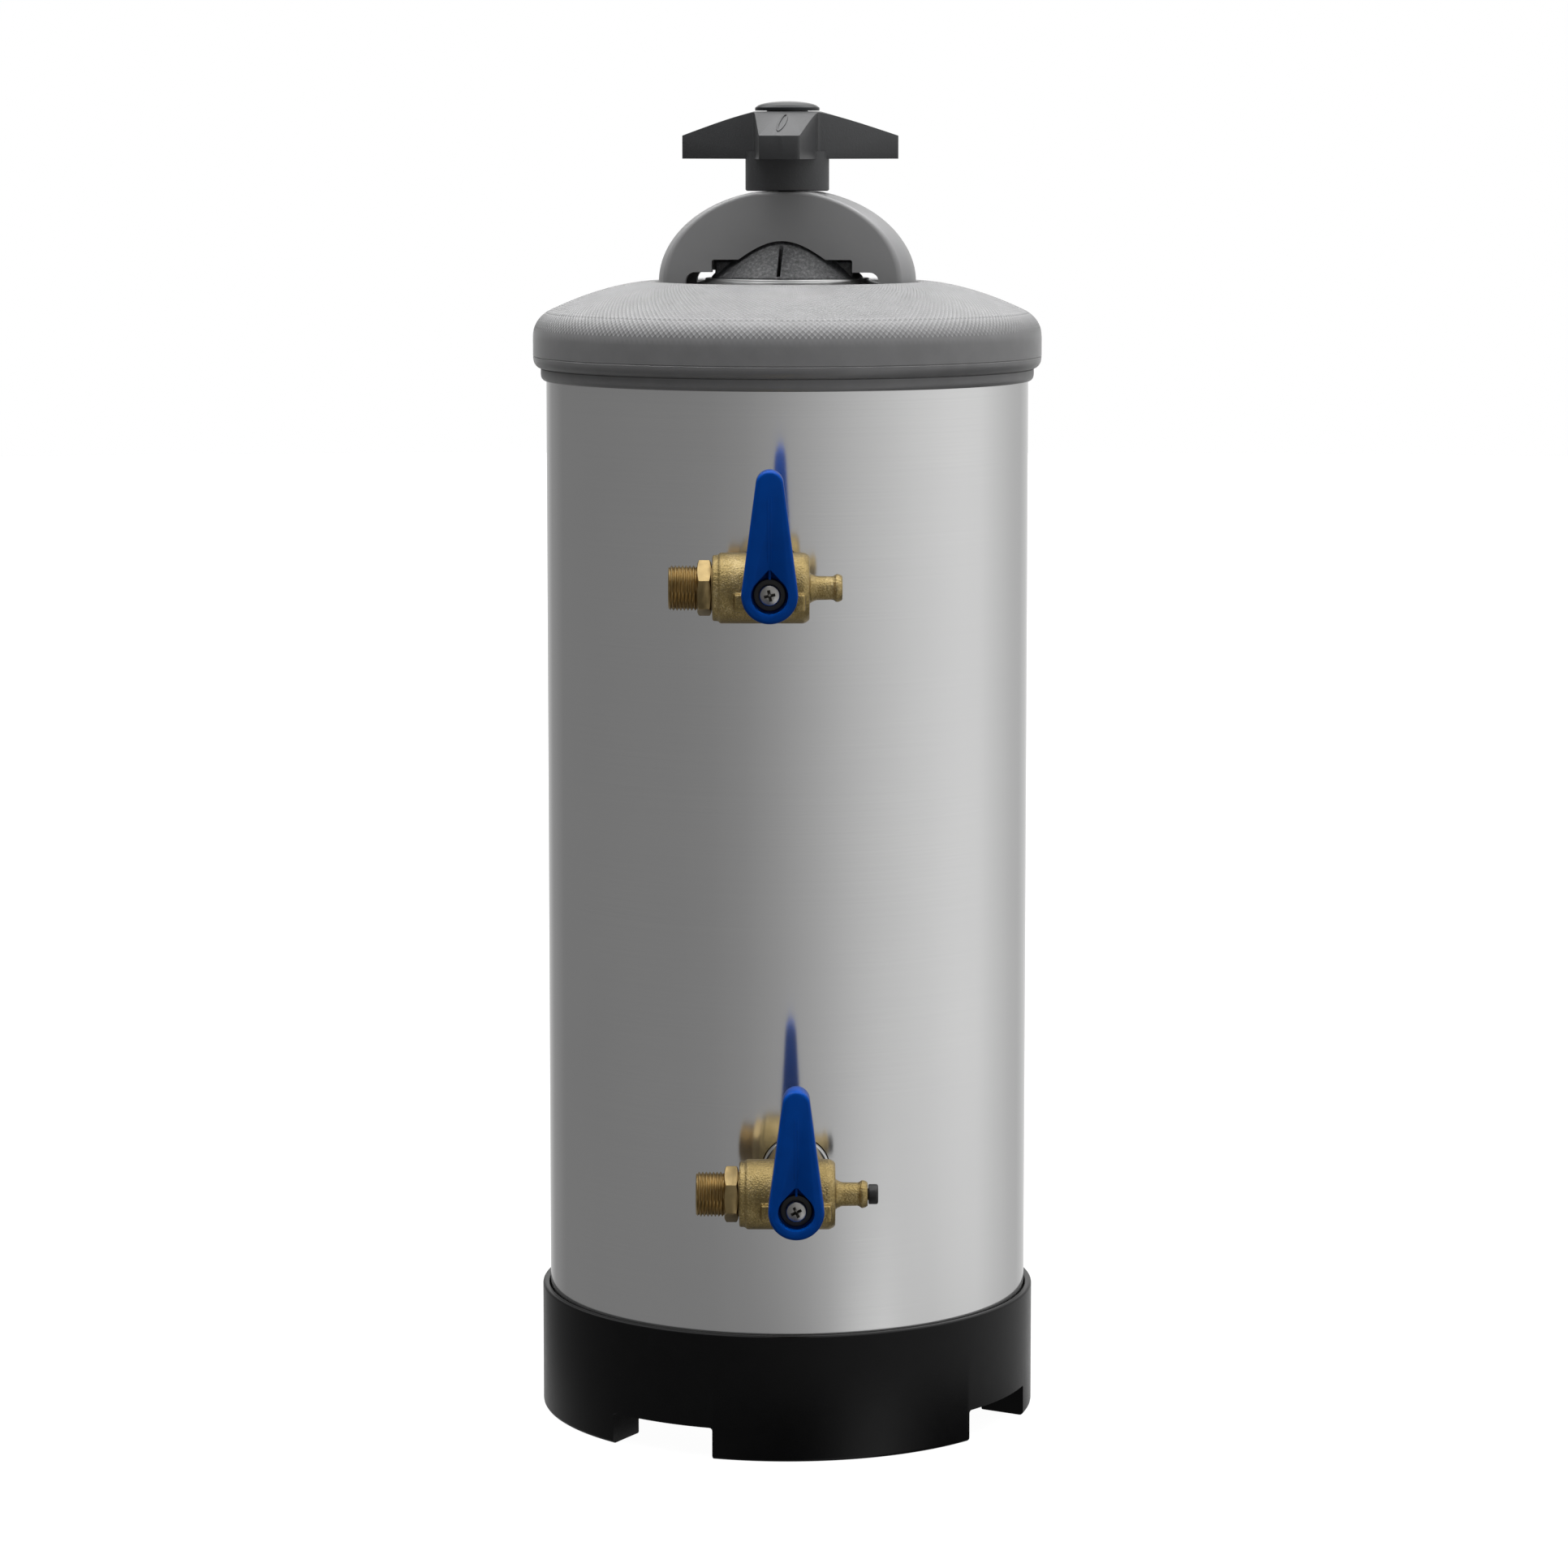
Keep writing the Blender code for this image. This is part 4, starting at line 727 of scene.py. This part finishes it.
def threaded(name, radius, depth, low, high, pitch, lead, matrix, steps, rings_per_pitch,
             end_chamfer=0.8 * MM):
    """A rod with a cut thread, fading to a chamfer at both of its ends.

    A lead of one pitch winds one thread up the rod, and a lead of two pitches winds two.
    """
    count = max(int((high - low) / pitch * rings_per_pitch), 8)
    rings = []
    for k in range(count + 1):
        z = low + (high - low) * k / count
        margin = min(z - low, high - z)
        limit = radius - max(end_chamfer - margin, 0.0)
        ring = []
        for i in range(steps):
            angle = 2 * math.pi * i / steps
            phase = ((z - lead * i / steps) / pitch) % 1.0
            wave = abs(2 * phase - 1)
            groove = min(max((wave - 0.12) / 0.76, 0.0), 1.0)
            r = min(radius - depth * groove, limit)
            ring.append(matrix @ Vector((r * math.cos(angle), r * math.sin(angle), z)))
        rings.append(ring)
    return loft(name, rings, 50.0)


def build_lid():
    """The lid's cone with its two blocks and slot, its gasket and its threaded stud."""
    profile = rounded(mm([
        (0.0, 474.5),
        (7.5, 474.5, 0.7),
        (29.6, 451.2, 0.8),
        (30.0, 450.0, 0.5),
        (30.0, 437.4, 0.4),
        (35.5, 437.4, 0.5),
        (35.5, 433.0, 0.5),
        (0.0, 433.0),
    ]), False)
    mesh = lathe("lid_fine", profile, 144, matrix=ON_CLOSURE)
    blocks = block("blocks", (-27 * MM, -12.5 * MM, 445.5 * MM), (27 * MM, 12.5 * MM, 457.3 * MM),
                   ON_CLOSURE, 0.7 * MM)
    slot = block("slot", (-0.75 * MM, -35 * MM, 451.5 * MM), (0.75 * MM, -18 * MM, 474.5 * MM),
                 ON_CLOSURE, 0.2 * MM, 1)
    socket = mm([(0.0, 455.7), (4.3, 455.7), (4.3, 480), (0.0, 480)])
    mesh = carve(mesh, [
        ("UNION", blocks),
        ("DIFFERENCE", slot),
        ("DIFFERENCE", lathe("socket", socket, 48, matrix=ON_CLOSURE)),
    ])
    piece("lid_fine", mesh, LID_BLACK, "lid", ["lid"])
    ring = mm([(30.5, 439.7, 0.6), (35.2, 439.7, 0.6), (35.2, 437.7, 0.6), (30.5, 437.7, 0.6)])
    mesh = lathe("lid_gasket_fine", rounded(ring, True), 120, True, ON_CLOSURE)
    piece("lid_gasket_fine", mesh, RUBBER, "lid", ["lid_gasket"])
    mesh = threaded("lid_stud_fine", 4.0 * MM, 0.62 * MM, 456.0 * MM, 500.3 * MM, STUD_PITCH,
                    2 * STUD_PITCH, ON_CLOSURE, 40, 8)
    piece("lid_stud_fine", mesh, SCREW_STEEL, "lid", ["lid_stud"])


KNOB_TURN = -4                          # degrees, from straight ahead to the front lobe
KNOB_REACH = 46.0 * MM
KNOB_TIP_WIDTH = 15.7 * MM
KNOB_WAIST = 25.0 * MM                  # across the valleys between the lobes
KNOB_HUB = 13.0 * MM
KNOB_TOP = 515.5 * MM                   # the hub's top
KNOB_TIP_TOP = 506.0 * MM               # the lobes' tops slope down to here
KNOB_FALL = (KNOB_TOP - KNOB_TIP_TOP) / (KNOB_REACH - KNOB_HUB)
OVAL_MIDDLE = 29.0 * MM                 # how far out the raised oval is


def knob_outline():
    """Three tapered lobes with rounded valleys between them."""
    half_tip = math.asin(KNOB_TIP_WIDTH / 2 / KNOB_REACH)
    valley = KNOB_WAIST / 2 / math.sin(math.pi / 3)
    points = []
    for lobe in range(3):
        middle = math.radians(KNOB_TURN - 90) + lobe * 2 * math.pi / 3
        for k in range(9):
            angle = middle + half_tip * (k / 4 - 1)
            corner = 2.2 * MM if k in (0, 8) else 0.0
            points.append((KNOB_REACH * math.cos(angle), KNOB_REACH * math.sin(angle), corner))
        angle = middle + math.pi / 3
        points.append((valley * math.cos(angle), valley * math.sin(angle), 3.0 * MM))
    return rounded(points, True, 5)


def build_knob():
    """The lobed knob on its sleeve, with the cap on its hub."""
    body = prism("knob_fine", knob_outline(), 497.0 * MM, 520 * MM, ON_AXIS)
    past = 52 * MM                      # beyond the lobes' tips
    slope = rounded([
        (0.0, KNOB_TOP),
        (KNOB_HUB + 0.2 * MM, KNOB_TOP, 1.5 * MM),
        (past, KNOB_TIP_TOP - (past - KNOB_REACH) * KNOB_FALL),
        (past, 490 * MM),
        (0.0, 490 * MM),
    ], False)
    body = carve(body, [("INTERSECT", lathe("slope", slope, 180))], bevel=1.1 * MM)
    sleeve = mm([(0.0, 500), (16.45, 500), (16.45, 485.0), (15.95, 484.5), (0.0, 484.5)])
    room = [
        (0.0, 520 * MM), (8.4 * MM, 520 * MM), (8.4 * MM, 488.0 * MM),
        (STUD_HOLE, 488.0 * MM), (STUD_HOLE, 480 * MM), (0.0, 480 * MM),
    ]
    lean = Matrix.Rotation(math.atan(KNOB_FALL), 4, "X")
    turn = Matrix.Rotation(math.radians(KNOB_TURN), 4, "Z")
    level = KNOB_TOP - (OVAL_MIDDLE - KNOB_HUB) * KNOB_FALL
    oval_place = ON_AXIS @ turn @ Matrix.Translation((0, -OVAL_MIDDLE, level)) @ lean @ turn
    outline = arc((0.0, 0.0), (1.6 * MM, 12.0 * MM), 0, 360, 48)[:-1]
    oval = prism("oval", outline, -1.0 * MM, 0.40 * MM, oval_place, 0.15 * MM, 2)
    outline = arc((0.0, 0.0), (0.9 * MM, 10.6 * MM), 0, 360, 48)[:-1]
    inner = prism("oval_inside", outline, 0.0, 1.0 * MM, oval_place)
    body = carve(body, [
        ("UNION", lathe("sleeve", sleeve, 96)),
        ("UNION", oval),
        ("DIFFERENCE", inner),
        ("DIFFERENCE", lathe("bore", room, 72)),
    ])
    piece("knob_fine", body, KNOB_BLACK, "knob", ["knob"])
    cap = rounded([
        *arc((0.0, 517.0 * MM), (12.2 * MM, 2.5 * MM), 90, 12, 16),
        (12.7 * MM, 517.0 * MM, 0.5 * MM),
        (12.7 * MM, 515.8 * MM, 0.2 * MM),
        (8.1 * MM, 515.8 * MM),
        (8.1 * MM, 508.0 * MM, 0.4 * MM),
        (0.0, 508.0 * MM),
    ], False, 6)
    mesh = lathe("knob_cap_fine", cap, 120)
    piece("knob_cap_fine", mesh, CAP_BLACK, "knob", ["knob_cap"])


# Valves

PIPE_PITCH = 1.337 * MM                 # 19 threads an inch, as on 3/8 inch pipe
NIPPLE_BORE = 5.0 * MM
STEM_HOLE = 4.6 * MM
PORT_BORE = 8.9 * MM
LEVER_HUB = 10.3 * MM
LEVER_TIP = 5.05 * MM
LEVER_TOP = 45.3 * MM                   # above the stem's axis
LEVER_BACK = 21.0 * MM
LEVER_FACE = 32.88 * MM                 # two thin ridges stand out to 33 mm


def joined(name, meshes):
    """Several meshes as one."""
    bm = bmesh.new()
    for mesh in meshes:
        bm.from_mesh(mesh)
    made = bpy.data.meshes.new(name)
    bm.to_mesh(made)
    bm.free()
    return smoothed(made)


def hexagon(across_flats, turned=0.0):
    """The outline of a hexagon with a corner at an angle from +X."""
    corner = across_flats / math.sqrt(3)
    angles = [turned + math.radians(60 * i) for i in range(6)]
    return [(corner * math.cos(a), corner * math.sin(a)) for a in angles]


def hex_nut(name, across_flats, low, high, bore, matrix, turned=0.0, chamfer=1.0):
    """A hexagon with turned chamfers at both ends and a bore."""
    corner = across_flats / math.sqrt(3)
    face = across_flats / 2 * 0.975
    fall = (corner - face) * 0.58 * chamfer         # about 30 degrees, where chamfer is 1
    turning = [
        (0.0, high), (face, high), (corner + 0.2 * MM, high - fall - 0.12 * MM),
        (corner + 0.2 * MM, low + fall + 0.12 * MM), (face, low), (0.0, low),
    ]
    mesh = prism(name, hexagon(across_flats, turned), low - 1 * MM, high + 1 * MM, matrix)
    hole = [(0.0, high + 2 * MM), (bore, high + 2 * MM), (bore, low - 2 * MM), (0.0, low - 2 * MM)]
    return carve(mesh, [
        ("INTERSECT", lathe("turning", turning, 96, matrix=matrix)),
        ("DIFFERENCE", lathe("bore", hole, 64, matrix=matrix)),
    ], 20.0, bevel=0.12 * MM)


def build_valve_body(side, place):
    """The brass casting with its hose tail, stem boss, stop lugs and threaded tail."""
    right = place @ TO_RIGHT
    front = place @ TO_FRONT
    profile = rounded(mm([
        (0.0, 26.7),
        (4.5, 26.7, 0.4),
        (5.2, 25.2, 0.5),
        (5.2, 24.4, 0.5),
        (4.35, 23.4, 0.6),
        (4.45, 17.0, 2.0),
        (5.6, 14.6, 0.6),
        (11.6, 14.6, 0.6),
        (12.35, 13.9, 0.5),
        (13.05, 12.4, 1.0),
        (13.05, -18.5, 0.9),
        (12.2, -18.8, 0.3),
        (12.2, -21.2, 0.6),
        (0.0, -21.2),
    ]), False)
    body = lathe("cast", profile, 96, matrix=right)
    cross = rounded(mm([
        (0.0, 17.0),
        (8.2, 17.0, 0.7),
        (8.2, 0.0),
        (10.0, 0.0),
        (10.0, -24.7, 0.6),
        (8.5, -24.7),
        (8.5, -53.0, 0.5),
        (0.0, -53.0),
    ]), False)
    steps = [("UNION", lathe("cross", cross, 72, matrix=front))]
    for sign in (-1, 1):
        near, far = sorted((sign * 9.0 * MM, sign * 13.0 * MM))
        lug = block("lug", (near, -15.5 * MM, -7.6 * MM), (far, -4.0 * MM, -1.0 * MM), place, 0.5 * MM, 2)
        steps.append(("UNION", lug))
    chamber = mm([(0.0, 29), (2.6, 29), (2.6, 9.9), (8.7, 9.9), (8.7, -23), (0.0, -23)])
    through = mm([
        (0.0, 19), (6.6, 19), (6.6, 13.4), (4.75, 13.4),
        (4.75, 0.0), (5.0, 0.0), (5.0, -55), (0.0, -55),
    ])
    steps.append(("DIFFERENCE", lathe("chamber", chamber, 72, matrix=right)))
    steps.append(("DIFFERENCE", lathe("through", through, 72, matrix=front)))
    mesh = carve(body, steps, 50.0, remesh=0.42 * MM)
    name = side + "_valve_body"
    piece(name + "_fine", mesh, CAST_BRASS, "root", [name])


def build_nipple(side, place):
    """The threaded end, its hexagon and its bore."""
    right = place @ TO_RIGHT
    name = side + "_end_nipple"
    thread = threaded(name, 8.33 * MM, 0.80 * MM, -37.3 * MM, -26.6 * MM, PIPE_PITCH, PIPE_PITCH, right,
                      72, 12, 0.9 * MM)
    bore = [(0.0, -39 * MM), (NIPPLE_BORE, -39 * MM), (NIPPLE_BORE, -7 * MM), (0.0, -7 * MM)]
    thread = carve(thread, [("DIFFERENCE", lathe("bore", bore, 64, matrix=right))], 50.0)
    turned = math.radians(HEX_TURNS[side])
    nut = hex_nut(name, 18.5 * MM, -26.7 * MM, -21.5 * MM, NIPPLE_BORE, right, turned, 0.7)
    shank = rounded([
        (NIPPLE_BORE, -9.8 * MM), (8.3 * MM, -9.8 * MM, 0.5 * MM),
        (8.3 * MM, -21.6 * MM), (NIPPLE_BORE, -21.6 * MM),
    ], True)
    mesh = joined(name + "_fine", [thread, nut, lathe("shank", shank, 64, True, right)])
    piece(name + "_fine", mesh, TURNED_BRASS, "root", [name])


def lever_outline():
    """Two arcs of unlike radius joined by straight flanks, narrowing upwards."""
    centre = LEVER_TOP - LEVER_TIP
    lean = math.degrees(math.asin((LEVER_HUB - LEVER_TIP) / centre))
    points = arc((0.0, 0.0), (LEVER_HUB, LEVER_HUB), 180 - lean, 360 + lean, 56)
    return points + arc((0.0, centre), (LEVER_TIP, LEVER_TIP), lean, 180 - lean, 28)


def teardrop(radius, point):
    """A circle drawn out to a rounded point above it."""
    side = math.degrees(math.asin(radius / point))
    points = arc((0.0, 0.0), (radius, radius), 180 - side, 360 + side, 60)
    return rounded(points + [(0.0, point, 1.0 * MM)], True, 6)


def build_lever(side, place):
    """The lever with its pocket, washer, screw and gland nut."""
    front = place @ TO_FRONT
    body = side + "_lever"
    mesh = prism(body, lever_outline(), LEVER_BACK, LEVER_FACE, front, 1.25 * MM, 4)
    pocket = prism("pocket", teardrop(6.75 * MM, 9.9 * MM), 27.0 * MM, 36 * MM, front)
    square = block("square", (-3.3 * MM, -3.3 * MM, 18 * MM), (3.3 * MM, 3.3 * MM, 30 * MM), front, 0.0)
    rib = block("rib", (-0.45 * MM, 5.9 * MM, 26.5 * MM), (0.45 * MM, 10.5 * MM, 31.6 * MM), front,
                0.25 * MM)
    mesh = carve(mesh, [("DIFFERENCE", pocket), ("DIFFERENCE", square), ("UNION", rib)], 30.0,
                 bevel=0.10 * MM)
    ridges = [block("ridge", (x - 0.14 * MM, 12.5 * MM, 32.5 * MM), (x + 0.14 * MM, 35.5 * MM, 33.0 * MM),
                    front, 0.08 * MM) for x in (-0.6 * MM, 0.6 * MM)]
    mesh = joined(body, [mesh] + ridges)
    piece(body + "_fine", mesh, LEVER_BLUE, body, [body])

    ring = rounded(mm([
        (2.4, 28.5, 0.3), (6.0, 28.5, 0.5),
        (6.0, 27.3, 0.3), (2.4, 27.3, 0.3),
    ]), True)
    name = body + "_washer"
    piece(name + "_fine", lathe(name, ring, 72, True, front), RUBBER, body, [name])

    head = rounded(mm([
        (0.0, 31.6),
        (1.8, 31.5, 3),
        (3.7, 30.7, 0.8),
        (4.0, 29.6, 0.5),
        (4.0, 28.8, 0.2),
        (2.0, 28.8),
        (2.0, 19.5, 0.4),
        (0.0, 19.5),
    ]), False, 5)
    screw = lathe("screw", head, 72, matrix=front)
    spin = front @ Matrix.Rotation(math.radians(SCREW_TURNS[side]), 4, "Z")
    arm, half = 2.1 * MM, 0.55 * MM
    star = []
    for x, y in ((0, 1), (-1, 0), (0, -1), (1, 0)):
        for along, across in ((half, half), (arm, half), (arm, -half)):
            star.append((x * along + y * across, y * along - x * across))
    rings = []
    for level, share in ((33.0, 1.0), (31.2, 1.0), (28.4, 0.25)):
        rings.append([spin @ Vector((x * share, y * share, level * MM)) for x, y in star])
    mesh = carve(screw, [("DIFFERENCE", loft("recess", rings, 30.0))])
    name = body + "_screw"
    piece(name + "_fine", mesh, SCREW_STEEL, body, [name])

    name = side + "_gland_nut"
    mesh = hex_nut(name, 15.0 * MM, 17.3 * MM, 20.3 * MM, STEM_HOLE, front)
    collar = [(STEM_HOLE, 15.8 * MM), (6.2 * MM, 15.8 * MM), (6.2 * MM, 17.4 * MM), (STEM_HOLE, 17.4 * MM)]
    mesh = joined(name, [mesh, lathe("collar", collar, 64, True, front)])
    piece(name + "_fine", mesh, TURNED_BRASS, "root", [name])


def build_port(side, place):
    """The union nut, its gasket and the boss welded to the tank."""
    front = place @ TO_FRONT
    name = side + "_union_nut"
    mesh = hex_nut(name, 24.0 * MM, -35.9 * MM, -25.0 * MM, PORT_BORE, front)
    piece(name + "_fine", mesh, TURNED_BRASS, "root", [name])
    name = side + "_port_gasket"
    ring = rounded([
        (PORT_BORE, -36.2 * MM, 0.3 * MM), (12.5 * MM, -36.2 * MM, 0.6 * MM),
        (12.5 * MM, -38.2 * MM, 0.6 * MM), (PORT_BORE, -38.2 * MM, 0.3 * MM),
    ], True)
    piece(name + "_fine", lathe(name, ring, 96, True, front), RUBBER, "root", [name])
    name = side + "_port_boss"
    ring = rounded([
        (PORT_BORE, -38.5 * MM, 0.5 * MM), (13.0 * MM, -38.5 * MM, 0.8 * MM),
        (13.0 * MM, -45.5 * MM, 0.4 * MM), (PORT_BORE, -45.5 * MM, 0.4 * MM),
    ], True)
    piece(name + "_fine", lathe(name, ring, 96, True, front), POLISHED, "root", [name])


def build_plug(place):
    """The rubber plug in the lower hose tail."""
    profile = rounded(mm([
        (0.0, 30.6), (3.75, 30.6, 0.8), (3.75, 27.0, 0.4),
        (2.2, 27.0), (2.2, 20.0, 0.4), (0.0, 20.0),
    ]), False)
    mesh = lathe("lower_drain_plug_fine", profile, 64, matrix=place @ TO_RIGHT)
    piece(mesh.name, mesh, RUBBER, "drain_plug", ["lower_drain_plug"])


def dress_cad_nodes():
    """Procedural materials for the CAD nodes that stay: what is inside the tank and the valves."""
    finishes = {
        "resin_bed": RESIN, "tank_bottom_dome": STEEL, "knob_insert": TURNED_BRASS,
    }
    for side in PIVOTS:
        finishes[side + "_ball"] = POLISHED
        finishes[side + "_stem"] = TURNED_BRASS
        finishes[side + "_stem_seal"] = RUBBER
        for other in ("_seat_left", "_seat_right", "_strainer"):
            finishes[side + other] = SEAL_WHITE
    for name, material in finishes.items():
        mesh = frame["nodes"][name].data
        mesh.materials.clear()
        mesh.materials.append(material)


# Light and camera

CEILING = 2.0                           # as mirrored by glossy surfaces
MATT_CEILING = 10.5                     # as it lights matt ones
CEILING_LEAN = math.radians(12)         # the ceiling light stands a little behind the object
CEILING_EDGE = (0.62, 0.86)             # cosines from the ceiling's middle, between which it begins
TABLE_EDGE = (-0.252, -0.285)           # how far down the table's light begins
WHITE = (1.0, 1.0, 1.0, 1.0)            # the backdrop, and the floor's glow
PANELS = [                              # degrees round from the front, and the light's level there
    (-180, 0.85), (-168, 0.52), (-154, 0.29), (-136, 0.205), (-104, 0.205), (-71, 0.215),
    (-53, 0.22), (-36, 0.235), (-20, 0.27), (-4, 0.335), (12, 0.42), (28, 0.51), (44, 0.59),
    (62, 0.68), (81, 0.75), (92, 0.77), (104, 0.76), (118, 0.65), (136, 0.53), (148, 0.49),
    (162, 0.60), (180, 0.85),
]
TABLE = [                               # the same, for the light that comes up from the table
    (-180, 0.50), (-165, 0.36), (-140, 0.30), (-104, 0.22), (-60, 0.20), (-25, 0.15), (-10, 0.08),
    (8, 0.08), (20, 0.24), (36, 0.90), (48, 1.10), (60, 0.50), (75, 0.12), (90, 0.05), (125, 0.05),
    (150, 0.28), (168, 0.40), (180, 0.50),
]
EYE_HEIGHT = 503.6 * MM
EYE_DISTANCE = 1905.5 * MM
EYE_PITCH = 6.11                        # degrees below the horizon
EYE_SIDE = -1.3 * MM
EYE_LENS = 110.8                        # millimetres, on a sensor 36 mm wide
EYE_SHIFT = -0.08
FLOOR_RADIUS = 6.0
FLOOR_GLOW = 0.97


def grey(level):
    """A grey colour."""
    return (level, level, level)


def level_round(tree, share, levels):
    """Light that changes with the direction round the object; share goes round once from 0 to 1."""
    return ramp(tree, share, [((angle + 180) / 360, grey(level)) for angle, level in levels])


def build_world():
    """A soft studio: panels round the horizon, a table below, a bright ceiling, a white backdrop."""
    world = bpy.data.worlds.new("studio")
    bpy.context.scene.world = world
    world.use_nodes = True
    tree = world.node_tree
    background = tree.nodes["Background"]
    sky = tree.nodes.new("ShaderNodeTexCoord").outputs["Generated"]
    path = tree.nodes.new("ShaderNodeLightPath").outputs
    parts = node(tree, "ShaderNodeSeparateXYZ", {"Vector": sky}).outputs
    turn = maths(tree, "ARCTAN2", parts["X"], maths(tree, "MULTIPLY", parts["Y"], -1.0))
    share = spread(tree, turn, 0.0, 1.0, (-math.pi, math.pi))
    below = spread(tree, parts["Z"], 0.0, 1.0, TABLE_EDGE)
    sides = blend(tree, below, level_round(tree, share, PANELS), level_round(tree, share, TABLE))
    lean = node(tree, "ShaderNodeVectorMath", {"Vector": sky}, operation="DOT_PRODUCT")
    lean.inputs[1].default_value = (0.0, math.sin(CEILING_LEAN), math.cos(CEILING_LEAN))
    height = spread(tree, lean.outputs["Value"], 0.0, 1.0, CEILING_EDGE)
    ceiling = ramp(tree, path["Is Diffuse Ray"], [(0.0, grey(CEILING)), (1.0, grey(MATT_CEILING))])
    studio = blend(tree, height, sides, ceiling)
    seen = blend(tree, path["Is Camera Ray"], studio, WHITE)
    tree.links.new(seen, background.inputs["Color"])


def build_stage():
    """The floor and the camera."""
    outline = arc((0.0, 0.0), (FLOOR_RADIUS, FLOOR_RADIUS), 0, 360, 64)[:-1]
    mesh = bpy.data.meshes.new("floor")
    mesh.from_pydata([(x, y, 0.0) for x, y in outline], [], [tuple(range(len(outline)))])
    floor = bpy.data.objects.new("floor", mesh)
    bpy.context.scene.collection.objects.link(floor)
    material, _, shader, _ = surface("pale_floor", grey(0.06), 0.9)
    shader.inputs["Emission Color"].default_value = WHITE
    shader.inputs["Emission Strength"].default_value = FLOOR_GLOW
    mesh.materials.append(material)
    floor.visible_glossy = False
    floor.visible_diffuse = False

    data = bpy.data.cameras.new("camera")
    data.lens = EYE_LENS
    data.shift_y = EYE_SHIFT
    data.sensor_width = 36.0
    data.clip_end = 50.0
    camera = bpy.data.objects.new("camera", data)
    bpy.context.scene.collection.objects.link(camera)
    camera.location = (EYE_SIDE, AXIS.y - EYE_DISTANCE, EYE_HEIGHT)
    camera.rotation_euler = (math.radians(90 - EYE_PITCH), 0.0, 0.0)
    bpy.context.scene.camera = camera
    bpy.context.scene.view_settings.view_transform = "Standard"


build_base()
build_tank()
build_cover()
build_bridge()
build_lid()
build_knob()
for valve_side, valve_pivot in PIVOTS.items():
    valve_place = Matrix.Translation(valve_pivot)
    build_valve_body(valve_side, valve_place)
    build_nipple(valve_side, valve_place)
    build_lever(valve_side, valve_place)
    build_port(valve_side, valve_place)
build_plug(Matrix.Translation(PIVOTS["lower"]))
dress_cad_nodes()
build_world()
build_stage()
